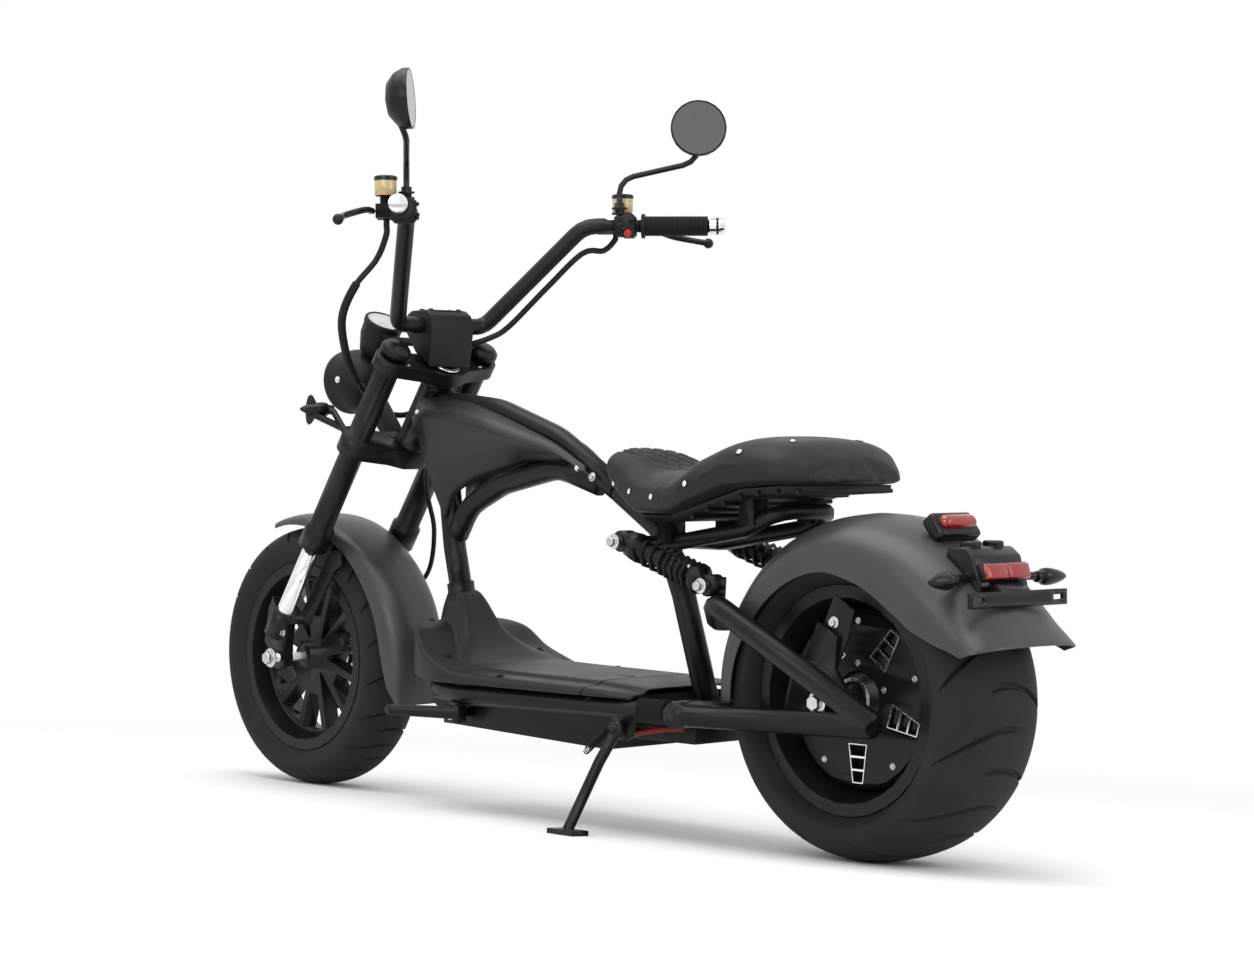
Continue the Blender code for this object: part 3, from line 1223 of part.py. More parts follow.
def add_side_stand():
    """The leg that turns on the frame's pin: down when parked, back and up to ride."""
    hub_low = Vector(STAND_PIVOT) - stand_axis() * 0.0055
    hub_high = Vector(STAND_PIVOT) + stand_axis() * 0.010
    hub = rod("side_stand", hub_low, hub_high, 0.0135, 16)
    reach = STAND_PIVOT[2] / cos(STAND_SPLAY)
    foot_y = STAND_PIVOT[1] + reach * sin(STAND_SPLAY)
    foot_x = STAND_PIVOT[0] + reach * sin(STAND_RAKE)
    foot_z = floor_height(foot_y)
    start = Vector(STAND_PIVOT) + Vector((0, 0.006, -0.004))
    end = Vector((foot_x, foot_y, foot_z + 0.0065))
    leg = tube("leg", rounded([start, start + (end - start) * 0.3 + Vector((0, 0.004, 0)), end],
                              0.05, 3), STAND_LEG_R, 10)
    tilt = Matrix.Rotation(LEAN, 4, "X")
    pad = box("pad", (foot_x, foot_y, foot_z + 0.0040), (0.056, 0.034, 0.008), 0.0, tilt)
    clear = rod("pin_clear", Vector(STAND_PIVOT) - stand_axis() * 0.03,
                Vector(STAND_PIVOT) + stand_axis() * 0.03, STAND_PIN_R + 0.0006, 12)
    register(cut(fuse(hub, leg, pad), clear), "satin_black", "stand_pivot")


def add_footpegs():
    for side, word in SIDES:
        bracket = box(f"footpeg_{word}", (0.812, side * 0.1290, 0.168), (0.036, 0.020, 0.030),
                      0.002)
        peg = rod("peg", (0.808, side * 0.132, 0.170), (0.808, side * 0.270, 0.184), 0.0105, 12,
                  0.0085)
        hanger = box("hanger", (0.812, side * 0.110, 0.170), (0.028, 0.0240, 0.012))
        rail_keep = rod("rail_keep", (0.700, side * RAIL_Y, RAIL_Z),
                        (0.900, side * RAIL_Y, RAIL_Z), RAIL_R + SEAT_GAP, 12)
        box_keep = box("box_keep", (0.8, 0, 0.17), (0.5, 2 * (BOX_HALF + SEAT_GAP), 0.2))
        register(cut(fuse(bracket, peg, hanger), rail_keep, box_keep), "satin_black")


def add_under_tray():
    tray = box("rear_tray", (0.385, 0, 0.168), (0.150, 0.150, 0.034), 0.003)
    register(tray, "black_plastic")


def lean_frame(frame):
    """Leans the scooter to its left and sets it down with its box centred on the origin."""
    frame.matrix_basis = Matrix.Rotation(-LEAN, 4, "X")
    bpy.context.view_layer.update()
    graph = bpy.context.evaluated_depsgraph_get()
    low = Vector((9, 9, 9))
    high = Vector((-9, -9, -9))
    for obj in PARTS.objects:
        if obj.type == "EMPTY":
            continue
        solid = obj.evaluated_get(graph)
        data = solid.to_mesh()
        for vertex in data.vertices:
            point = solid.matrix_world @ vertex.co
            low = Vector(map(min, low, point))
            high = Vector(map(max, high, point))
        solid.to_mesh_clear()
    middle = (low + high) / 2
    frame.matrix_basis = Matrix.Translation((-middle.x, -middle.y, -low.z)) @ frame.matrix_basis


def main():
    frame = place_frame()
    add_rear_wheel()
    add_front_wheel()
    add_fork()
    add_handlebar()
    add_head_fittings()
    add_mudguards()
    add_frame()
    add_seat_frame()
    add_rails()
    add_swing_arm()
    add_shocks()
    add_tank_covers()
    add_deck()
    add_battery_box()
    add_seat()
    add_tail()
    add_side_stand()
    add_footpegs()
    add_under_tray()
    lean_frame(frame)


main()
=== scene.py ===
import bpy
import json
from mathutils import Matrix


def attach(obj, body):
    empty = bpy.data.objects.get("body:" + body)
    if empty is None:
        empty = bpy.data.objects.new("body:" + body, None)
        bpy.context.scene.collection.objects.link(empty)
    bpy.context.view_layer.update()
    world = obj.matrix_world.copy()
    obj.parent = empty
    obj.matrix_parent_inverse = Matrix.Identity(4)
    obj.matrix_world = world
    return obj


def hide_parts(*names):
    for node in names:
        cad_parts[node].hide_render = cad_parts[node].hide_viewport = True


bl_info = {
    "name": "Chopper Scooter Dressing",
    "version": (1, 0, 0),
    "blender": (4, 5, 0),
    "location": "View3D > Sidebar > Scooter",
    "description": "Finishes, tread, saddle, lamps and fastenings for the electric chopper scooter",
    "category": "Object",
}

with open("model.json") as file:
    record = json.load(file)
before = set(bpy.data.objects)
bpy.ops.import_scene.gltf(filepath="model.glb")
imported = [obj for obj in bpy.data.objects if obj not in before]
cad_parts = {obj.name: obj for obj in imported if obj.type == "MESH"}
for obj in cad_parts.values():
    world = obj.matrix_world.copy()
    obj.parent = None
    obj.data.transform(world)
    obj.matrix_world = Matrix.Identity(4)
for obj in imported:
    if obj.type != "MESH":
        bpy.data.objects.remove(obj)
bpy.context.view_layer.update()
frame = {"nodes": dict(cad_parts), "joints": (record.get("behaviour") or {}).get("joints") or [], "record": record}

import json
import math

import bmesh
import bpy
from bpy.props import FloatProperty, PointerProperty
from mathutils import Matrix, Vector
from mathutils.bvhtree import BVHTree

# The scooter leans on its side stand. Pieces are made as it stands upright, with the origin on
# the ground under the rear axle. UPRIGHT then leans them with the rest, and LEVEL undoes that.
REAR_AXLE = Vector((0, 0, 0.2385))
FRONT_AXLE = Vector((1.338, 0, 0.230))
REAR_SPIN = next(j for j in frame["joints"] if j["name"] == "rear_wheel_spin")
LEAN = math.atan2(-REAR_SPIN["axis"][2], REAR_SPIN["axis"][1])
TURN = Matrix.Rotation(-LEAN, 4, "X")
UPRIGHT = Matrix.Translation(Vector(REAR_SPIN["pos_m"]) - TURN @ REAR_AXLE) @ TURN
LEVEL = UPRIGHT.inverted()


# Finishes

FINISHES = {}


def feed(tree, socket, value):
    """Links an output to an input socket, or sets the socket's own value."""
    if isinstance(value, bpy.types.NodeSocket):
        tree.links.new(value, socket)
    else:
        socket.default_value = value


def shader_node(tree, kind, *inputs, **values):
    """Adds a node, with its properties and sockets set by name or, for inputs, in their order."""
    made = tree.nodes.new(kind)
    for name, value in values.items():
        label = name.replace("_", " ")
        if label in made.inputs:
            feed(tree, made.inputs[label], value)
        else:
            setattr(made, name, value)
    for socket, value in zip(made.inputs, inputs):
        feed(tree, socket, value)
    return made


def grey(level, tint=0.0):
    """A near-neutral colour, a little cooler as tint grows."""
    return (level * (1 - tint), level, level * (1 + tint), 1)


def new_finish(name, **sockets):
    """A material kept in FINISHES; its plain values stand on its Principled shader's sockets."""
    finish = FINISHES[name] = bpy.data.materials.new(name)
    finish.use_nodes = True
    shader = finish.node_tree.nodes["Principled BSDF"]
    for label, value in sockets.items():
        shader.inputs[label].default_value = value
    finish.diffuse_color = sockets["Base Color"]
    return finish.node_tree, shader


def own_place(tree):
    """The piece's own coordinates."""
    return shader_node(tree, "ShaderNodeTexCoord").outputs["Object"]


def object_noise(tree, scale, detail):
    """Noise on the piece's own coordinates."""
    noise = shader_node(tree, "ShaderNodeTexNoise", Vector=own_place(tree), Scale=scale,
                        Detail=detail)
    return noise.outputs["Fac"]


def blend_colours(tree, shader, source, first, second):
    ramp = shader_node(tree, "ShaderNodeValToRGB", source)
    for stop, position, colour in zip(ramp.color_ramp.elements, (0.35, 0.65), (first, second)):
        stop.position, stop.color = position, colour
    tree.links.new(ramp.outputs["Color"], shader.inputs["Base Color"])


def vary_roughness(tree, shader, source, low, high):
    span = shader_node(tree, "ShaderNodeMapRange", Value=source, From_Min=0.3, From_Max=0.7,
                       To_Min=low, To_Max=high)
    tree.links.new(span.outputs["Result"], shader.inputs["Roughness"])


def raise_grain(tree, shader, source, strength, depth, edge=0.0):
    """Bump from a height, over edges that are eased by their radius."""
    bump = shader_node(tree, "ShaderNodeBump", Strength=strength, Distance=depth, Height=source)
    if edge:
        eased = shader_node(tree, "ShaderNodeBevel", samples=4, Radius=edge)
        tree.links.new(eased.outputs["Normal"], bump.inputs["Normal"])
    tree.links.new(bump.outputs["Normal"], shader.inputs["Normal"])


def painted(name, level, rough, metal=0.0, grain=900.0, depth=0.00012, coat=0.0, mottle=9.0,
            spread=0.2, tint=0.01):
    """Paint, plastic or a cast skin: a soft mottle, uneven gloss and a fine grain."""
    tree, shader = new_finish(name, **{
        "Base Color": grey(level, tint), "Metallic": metal, "Coat Weight": coat,
        "Coat Roughness": 0.25, "Specular IOR Level": 0.22})
    cloud = object_noise(tree, mottle, 4.0)
    blend_colours(tree, shader, cloud, grey(level * (1 - spread), tint),
                  grey(level * (1 + spread), tint))
    vary_roughness(tree, shader, cloud, rough - 0.05, rough + 0.06)
    raise_grain(tree, shader, object_noise(tree, grain, 2.0), 0.35, depth, 0.0015)


def bright_metal(name, level, rough, strength=0.12):
    """Bare or plated metal, with a fine grain in its colour and gloss."""
    tree, shader = new_finish(name, **{"Base Color": grey(level, 0.01), "Metallic": 1.0})
    cloud = object_noise(tree, 260.0, 3.0)
    blend_colours(tree, shader, cloud, grey(level * 0.9, 0.01), grey(level, 0.01))
    vary_roughness(tree, shader, cloud, rough * 0.8, rough * 1.3)
    raise_grain(tree, shader, cloud, strength, 0.0001, 0.0006)


def leather(name):
    """Fine-grained black hide: small cells, an uneven gloss and a faint sheen."""
    tree, shader = new_finish(name, **{
        "Base Color": grey(0.005), "Sheen Weight": 0.02, "Sheen Roughness": 0.45,
        "Specular IOR Level": 0.25})
    cells = shader_node(tree, "ShaderNodeTexVoronoi", Vector=own_place(tree), Scale=620.0,
                        feature="DISTANCE_TO_EDGE")
    cloud = object_noise(tree, 14.0, 5.0)
    blend_colours(tree, shader, cloud, grey(0.004), grey(0.007))
    vary_roughness(tree, shader, cloud, 0.42, 0.58)
    raise_grain(tree, shader, cells.outputs["Distance"], 0.3, 0.0004)


def tyre_rubber(name, axle):
    """Matt rubber whose side walls carry fine rings about the axle."""
    ring_phase = 1400.0                # radians for each metre of radius
    tree, shader = new_finish(name, **{"Base Color": grey(0.012), "Specular IOR Level": 0.22})
    dust = object_noise(tree, 18.0, 6.0)
    blend_colours(tree, shader, dust, grey(0.009), grey(0.016, -0.02))
    vary_roughness(tree, shader, dust, 0.62, 0.8)
    centre = shader_node(tree, "ShaderNodeMapping", vector_type="TEXTURE", Vector=own_place(tree),
                         Location=UPRIGHT @ axle, Rotation=(-LEAN, 0, 0))
    flat = shader_node(tree, "ShaderNodeVectorMath", centre.outputs["Vector"], (1, 0, 1),
                       operation="MULTIPLY")
    radius = shader_node(tree, "ShaderNodeVectorMath", flat.outputs["Vector"], operation="LENGTH")
    spaced = shader_node(tree, "ShaderNodeMath", radius.outputs["Value"], ring_phase,
                         operation="MULTIPLY")
    rings = shader_node(tree, "ShaderNodeMath", spaced.outputs["Value"], operation="SINE")
    both = shader_node(tree, "ShaderNodeMath", rings.outputs["Value"],
                       object_noise(tree, 700.0, 2.0), operation="ADD")
    raise_grain(tree, shader, both.outputs["Value"], 0.14, 0.0003)


def lens(name, colour, rough=0.08, through=0.6):
    """Coloured or clear lamp plastic, with a faint moulded pattern."""
    tree, shader = new_finish(name, **{
        "Base Color": (*colour, 1), "Roughness": rough, "Transmission Weight": through,
        "IOR": 1.49, "Coat Weight": 0.6, "Coat Roughness": 0.05})
    prisms = shader_node(tree, "ShaderNodeTexVoronoi", Vector=own_place(tree), Scale=260.0)
    raise_grain(tree, shader, prisms.outputs["Distance"], 0.25, 0.0004)


def make_finishes(sizes):
    flake = {"grain": 2600.0, "depth": 0.00006, "mottle": 5.0}
    painted("satin_black", sizes.frame_black, 0.36)
    painted("graphite", sizes.paint_grey, 0.40, metal=0.45, coat=0.1, spread=0.10, tint=0.02,
            **flake)
    painted("cover_grey", sizes.paint_grey * 0.30, 0.38, metal=0.35, coat=0.15, spread=0.12,
            **flake)
    painted("grip_rubber", 0.008, 0.70, grain=1500.0, depth=0.0002)
    painted("black_plastic", 0.006, 0.50, grain=1300.0, depth=0.0002)
    painted("deck_plastic", 0.011, 0.44, grain=1500.0, depth=0.00022)
    painted("black_alloy", 0.006, 0.32, grain=1100.0, depth=0.00018)
    painted("gloss_black", 0.005, 0.22, coat=0.08, depth=0.00004)
    painted("dial_white", 0.62, 0.5, grain=1500.0, depth=0.00003)
    tyre_rubber("front_rubber", FRONT_AXLE)
    tyre_rubber("rear_rubber", REAR_AXLE)
    leather("black_leather")
    bright_metal("chrome", 0.86, 0.10, 0.02)
    bright_metal("alloy", 0.62, 0.28)
    # Silver for the motor cover's window outlines, and for the bright ring on the hub that is a painted highlight.
    bright_metal("silver_and_painted_highlight", 0.80, 0.24)
    bright_metal("mirror_glass", 0.16, 0.03, 0.0)
    lens("red_lens", (0.62, 0.012, 0.015))
    lens("amber_fluid", (0.80, 0.62, 0.28), 0.05, 0.4)
    lens("clear_lens", (0.92, 0.93, 0.95), 0.03, 0.85)
    for name, rough, level in (("signal_red", 0.35, 0.5), ("loom_red", 0.5, 0.16)):
        painted(name, 0.05, rough)
        ramp = next(n for n in FINISHES[name].node_tree.nodes if n.type == "VALTORGB")
        for element, share in zip(ramp.color_ramp.elements, (0.85, 1.1)):
            element.color = (level * share, level * 0.05, level * 0.04, 1)


# The record's slot for each finish that isn't a slot itself.
SLOT_OF = {
    "front_rubber": "tyre_rubber", "rear_rubber": "tyre_rubber", "mirror_glass": "chrome",
    "cover_grey": "graphite", "silver_and_painted_highlight": "alloy",
    **dict.fromkeys(("deck_plastic", "red_lens", "amber_fluid", "clear_lens", "signal_red",
                     "loom_red", "gloss_black", "dial_white"), "black_plastic"),
}
NODE_SLOT = {p["node"]: p["material_slot"] for p in frame["record"]["subparts"]}

# Nodes whose finish differs from their record slot.
NODE_FINISH = {
    "deck_front": "deck_plastic", "deck_rear": "deck_plastic", "front_tyre": "front_rubber",
    "rear_tyre": "rear_rubber", "tank_cover_left": "cover_grey", "tank_cover_right": "cover_grey",
    "fork_slider_left": "black_alloy", "fork_slider_right": "black_alloy",
}


def finish_of(node):
    return NODE_FINISH.get(node, NODE_SLOT[node])


# Piece making

def add_object(name, data):
    made = bpy.data.objects.new(name, data)
    bpy.context.scene.collection.objects.link(made)
    return made


def object_from(bm, name):
    """Turns a bmesh into an object of the scene."""
    mesh = bpy.data.meshes.new(name)
    bm.to_mesh(mesh)
    bm.free()
    return add_object(name, mesh)


def finish_piece(bm, name, finish, body, replaced=(), crisp=35.0, upright=True):
    """Turns a bmesh into a finished piece: leant with the scooter, shaded, riding on its body."""
    if upright:
        bm.transform(UPRIGHT)
    piece = object_from(bm, name)
    mesh = piece.data
    mesh.materials.append(FINISHES[finish])
    mesh.polygons.foreach_set("use_smooth", [True] * len(mesh.polygons))
    mesh.set_sharp_from_angle(angle=math.radians(crisp))
    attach(piece, body)
    if replaced:
        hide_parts(*replaced)
    return piece


def facing(point, direction):
    """Local Z along direction, local Y as near to upward as it can be, origin at point."""
    z = Vector(direction).normalized()
    x = Vector((0, 0, 1)).cross(z)
    if x.length < 1e-6:
        x = Vector((1, 0, 0))
    x.normalize()
    y = z.cross(x)
    turned = Matrix((x, y, z)).transposed().to_4x4()
    turned.translation = Vector(point)
    return turned


def new_since(bm, before):
    return [v for v in bm.verts if v not in before]


def faces_of(verts):
    return list({f for v in verts for f in v.link_faces})


def spin_chain(bm, verts, axis, angle, steps, closed=False, merge=True):
    """Joins the vertices in a chain and spins it about an axis through the origin."""
    pairs = list(zip(verts, verts[1:])) + ([(verts[-1], verts[0])] if closed else [])
    edges = [bm.edges.new(pair) for pair in pairs]
    bmesh.ops.spin(bm, geom=verts + edges, cent=(0, 0, 0), axis=axis, angle=angle, steps=steps,
                   use_merge=merge)


def turned_shape(bm, profile, place, steps):
    """Spins a profile of (radius, height) about the local Z of place, with closed poles."""
    before = set(bm.verts)
    closed = profile[0][0] > 0 and profile[-1][0] > 0
    spin_chain(bm, [bm.verts.new((r, 0, h)) for r, h in profile], (0, 0, 1), math.tau, steps,
               closed)
    bmesh.ops.remove_doubles(bm, verts=new_since(bm, before), dist=1e-6)
    fresh = new_since(bm, before)
    bmesh.ops.recalc_face_normals(bm, faces=faces_of(fresh))
    bmesh.ops.transform(bm, matrix=place, verts=fresh)


def turned_piece(name, finish, profile, place, steps):
    """One turned shape as a piece that rides on the steering."""
    bm = bmesh.new()
    turned_shape(bm, profile, place, steps)
    finish_piece(bm, name, finish, "steering")


def bolt_head(bm, point, direction, radius, height, hexed=True):
    """A fastener's head on its washer, standing on the surface at point."""
    place = facing(point, direction)
    turned_shape(bm, [(0, 0), (radius * 1.45, 0), (radius * 1.45, height * 0.18),
                      (radius * 1.30, height * 0.26), (0, height * 0.26)], place, 24)
    if hexed:
        made = bmesh.ops.create_cone(bm, cap_ends=True, segments=6, radius1=radius,
                                     radius2=radius, depth=height,
                                     matrix=place @ Matrix.Translation((0, 0, height * 0.7)))
        rim = {e for v in made["verts"] for e in v.link_edges}
        bmesh.ops.bevel(bm, geom=list(rim), offset=radius * 0.08, segments=1, profile=0.5,
                        affect="EDGES", material=-1)
    else:
        turned_shape(bm, [(0, height * 0.2), (radius, height * 0.2), (radius, height * 0.75),
                          (radius * 0.86, height), (radius * 0.52, height),
                          (radius * 0.46, height * 0.55), (0, height * 0.55)], place, 24)


def bolt_group(name, finish, body, rows):
    """rows: (point, direction, radius, height, hexed)."""
    bm = bmesh.new()
    for row in rows:
        bolt_head(bm, *row)
    finish_piece(bm, name, finish, body)


# Shaping helpers

def read_table(rows, key):
    """The values at a key, read on a smooth curve through a table sorted by its first column."""
    keys = [row[0] for row in rows]
    key = min(max(key, keys[0]), keys[-1])
    i = max(k for k in range(len(rows) - 1) if keys[k] <= key)
    span = keys[i + 1] - keys[i]
    t = (key - keys[i]) / span
    values = []
    for column in range(1, len(rows[0])):
        rises = [(b[column] - a[column]) / (b[0] - a[0]) for a, b in zip(rows, rows[1:])]

        def slope(k):
            if k == 0 or k == len(rows) - 1:
                return rises[min(k, len(rises) - 1)]
            low, high = rises[k - 1], rises[k]
            return 0.0 if low * high <= 0 else 2 * low * high / (low + high)

        a, b = rows[i][column], rows[i + 1][column]
        values.append(a * (2 * t ** 3 - 3 * t ** 2 + 1) + b * (3 * t ** 2 - 2 * t ** 3)
                      + span * (slope(i) * (t ** 3 - 2 * t ** 2 + t)
                                + slope(i + 1) * (t ** 3 - t ** 2)))
    return values


def round_edges(bm, verts, width, segments):
    """Rounds every edge of the given vertices that turns more than 30 degrees."""
    sharp = {e for v in verts for e in v.link_edges
             if len(e.link_faces) == 2 and e.calc_face_angle(0.0) > math.radians(30.0)}
    bmesh.ops.bevel(bm, geom=list(sharp), offset=width, segments=segments, profile=0.5,
                    affect="EDGES", clamp_overlap=True, material=-1)


def block(bm, size, place, bevel, segments=3):
    """A box about the middle of place, with its edges rounded."""
    made = bmesh.ops.create_cube(bm, size=1.0, matrix=place @ Matrix.Diagonal((*size, 1)))
    round_edges(bm, made["verts"], bevel, segments)


def raise_faces(bm, faces, height):
    """Extrudes faces along Y."""
    raised = bmesh.ops.extrude_face_region(bm, geom=faces)
    top = [part for part in raised["geom"] if isinstance(part, bmesh.types.BMVert)]
    bmesh.ops.translate(bm, vec=(0, height, 0), verts=top)


def prism(bm, outline, low_y, high_y, bevel, segments=2):
    """A side-view outline of (x, z) made solid between two y, with its edges rounded."""
    before = set(bm.verts)
    raise_faces(bm, [bm.faces.new([bm.verts.new((x, low_y, z)) for x, z in outline])],
                high_y - low_y)
    fresh = new_since(bm, before)
    bmesh.ops.recalc_face_normals(bm, faces=faces_of(fresh))
    round_edges(bm, fresh, bevel, segments)


def smooth_path(points, spacing):
    """A smooth curve through the points, read at about the given spacing."""
    points = [Vector(p) for p in points]
    padded = [2 * points[0] - points[1], *points, 2 * points[-1] - points[-2]]
    path = []
    for a, b, c, d in zip(padded, padded[1:], padded[2:], padded[3:]):
        steps = max(1, round((c - b).length / spacing))
        for t in (step / steps for step in range(steps)):
            path.append(0.5 * (2 * b + (c - a) * t + (2 * a - 5 * b + 4 * c - d) * t ** 2
                               + (3 * b - a - 3 * c + d) * t ** 3))
    return path + [points[-1]]


def tube_along(bm, path, radius, sides, radii=None):
    """A round tube with closed ends along a path."""
    curve = bpy.data.curves.new("route", "CURVE")
    curve.dimensions = "3D"
    curve.bevel_depth = radius
    curve.bevel_resolution = (sides - 4) // 2
    curve.use_fill_caps = True
    spline = curve.splines.new("POLY")
    spline.points.add(len(path) - 1)
    for index, point in enumerate(path):
        spline.points[index].co = (*point, 1)
        spline.points[index].radius = radii[index] / radius if radii else 1.0
    route = add_object("route", curve)
    bpy.context.view_layer.update()
    mesh = bpy.data.meshes.new_from_object(
        route.evaluated_get(bpy.context.evaluated_depsgraph_get()))
    before = set(bm.verts)
    bm.from_mesh(mesh)
    bmesh.ops.remove_doubles(bm, verts=new_since(bm, before), dist=1e-6)
    bpy.data.objects.remove(route)
    bpy.data.meshes.remove(mesh)


def tube_piece(name, finish, body, path, radius, sides=12, crisp=35.0, radii=None):
    bm = bmesh.new()
    tube_along(bm, path, radius, sides, radii)
    finish_piece(bm, name, finish, body, crisp=crisp)


def add_wall(piece, thickness):
    """Gives an open skin whose faces point outwards its wall, on the inner side."""
    wall = piece.modifiers.new("wall", "SOLIDIFY")
    wall.thickness = thickness
    wall.offset = -1.0


def face_away(bm, inside):
    """Turns an open skin's faces away from a point that lies inside it."""
    bm.normal_update()
    out = sum(f.normal.dot(f.calc_center_median() - Vector(inside)) * f.calc_area()
              for f in bm.faces)
    if out < 0:
        bmesh.ops.reverse_faces(bm, faces=bm.faces)


def merged_copy(node):
    """A welded copy of a CAD node's mesh, in world places."""
    bm = bmesh.new()
    bm.from_mesh(frame["nodes"][node].data)
    bmesh.ops.remove_doubles(bm, verts=bm.verts, dist=2e-5)
    return bm


def on_surface(node, near):
    """The nearest point of a CAD node's surface, and its outward normal, as it stands upright."""
    mesh = frame["nodes"][node].data
    tree = BVHTree.FromPolygons([v.co for v in mesh.vertices],
                                [p.vertices for p in mesh.polygons])
    spot, out, _, _ = tree.find_nearest(UPRIGHT @ Vector(near))
    return LEVEL @ spot, (LEVEL.to_3x3() @ out).normalized()


def body_of(node):
    """The record's body that holds a CAD node."""
    return next(name for name, nodes in frame["record"]["behaviour"]["bodies"].items()
                if node in nodes)


FORK_UP = Vector((-0.5693, 0, 0.8221))
FORK_FORE = Vector((0.8221, 0, 0.5693))
LEG_CAP = Vector((1.0046, 0, 0.7662))
LEG_Y = 0.095
SLIDER_SEAM, SLIDER_RADIUS = 0.5515, 0.0165     # where the casting starts, and the tube above


def on_leg(down, y, fore=0.0):
    """A point at a distance down the fork's leg from its cap, at a side and in front of it."""
    return LEG_CAP + Vector((0, y, 0)) - FORK_UP * down + FORK_FORE * fore


GRIP_END, BAR_TOP = Vector((0.697, 0.336, 0.975)), Vector((0.855, 0.193, 0.976))


def on_bar(side, inward):
    """A point of the bar's straight end, measured inward from its tip."""
    point = GRIP_END + (BAR_TOP - GRIP_END).normalized() * inward
    return Vector((point.x, side * point.y, point.z))


def bar_out(side):
    """Outward along the bar's straight end."""
    return (on_bar(side, 0) - on_bar(side, 0.1)).normalized()


def bar_fore(side):
    """Level and square to the bar's straight end, towards the front."""
    out = bar_out(side)
    return (Vector((1, 0, 0)) - out * out.x).normalized()


# Tubes, castings and turned parts

ROUND_NODES = (
    "front_rim", "rear_rim", "hub_motor", "motor_cover", "fork_legs", "upper_clamp", "handlebar",
    "controls_left", "controls_right", "lever_left", "lever_right", "mirror_left", "mirror_right",
    "frame_front", "frame_spine", "frame_seat_post", "frame_rails", "swing_arm", "rear_axle",
    "front_axle", "shock_left", "shock_right", "spring_left", "spring_right", "battery_box",
    "side_stand", "footpeg_left", "footpeg_right", "speedometer", "rear_tray", "seat_pan")


def make_frame_skins():
    """Welded, smoothly shaded copies of the tubes, castings and turned parts."""
    for node in ROUND_NODES:
        bm = merged_copy(node)
        if node == "fork_legs":
            for sign in (1, -1):
                plane = UPRIGHT @ Vector((1.1, 0.138 * sign, 0.664))
                normal = UPRIGHT.to_3x3() @ Vector((0, sign, 0))
                cut = bmesh.ops.bisect_plane(bm, geom=bm.verts[:] + bm.edges[:] + bm.faces[:],
                                             plane_co=plane, plane_no=normal, clear_outer=True)
                rim = [e for e in cut["geom_cut"] if isinstance(e, bmesh.types.BMEdge)]
                bmesh.ops.holes_fill(bm, edges=rim, sides=0)
        finish_piece(bm, node + "_skin", finish_of(node), body_of(node), (node,), crisp=38.0,
                     upright=False)


def make_fork_sliders():
    """The chromed slider tubes, and the black castings that hold the axle and the mudguard."""
    for side, word in ((1, "left"), (-1, "right")):
        node = "fork_slider_" + word
        bm = merged_copy(node)
        seam = UPRIGHT @ on_leg(SLIDER_SEAM, side * LEG_Y)
        normal = UPRIGHT.to_3x3() @ FORK_UP
        bmesh.ops.bisect_plane(bm, geom=bm.verts[:] + bm.edges[:] + bm.faces[:], plane_co=seam,
                               plane_no=normal)
        piece = finish_piece(bm, node + "_skin", "black_alloy", "steering", (node,), 38.0, False)
        piece.data.materials.append(FINISHES["chrome"])
        for face in piece.data.polygons:
            away = face.center - seam
            down = away.dot(normal)
            if down > 0 and (away - normal * down).length < SLIDER_RADIUS:
                face.material_index = 1


# Tyres

TREAD_COLUMNS = (0.0, 0.11, 0.205, 0.232, 0.268, 0.295, 0.39, 0.50, 0.61, 0.705, 0.732, 0.768,
                 0.795, 0.89)
LEFT_GROOVE, RIGHT_GROOVE = (3, 4), (10, 11)
TREAD_EDGE = 0.93                      # share of the half section that the tread covers
ROUNDING = 2 / 2.3                     # power that squares the section's shoulders
BEAD_RADIUS, LIP_RADIUS = 0.1675, 0.1660


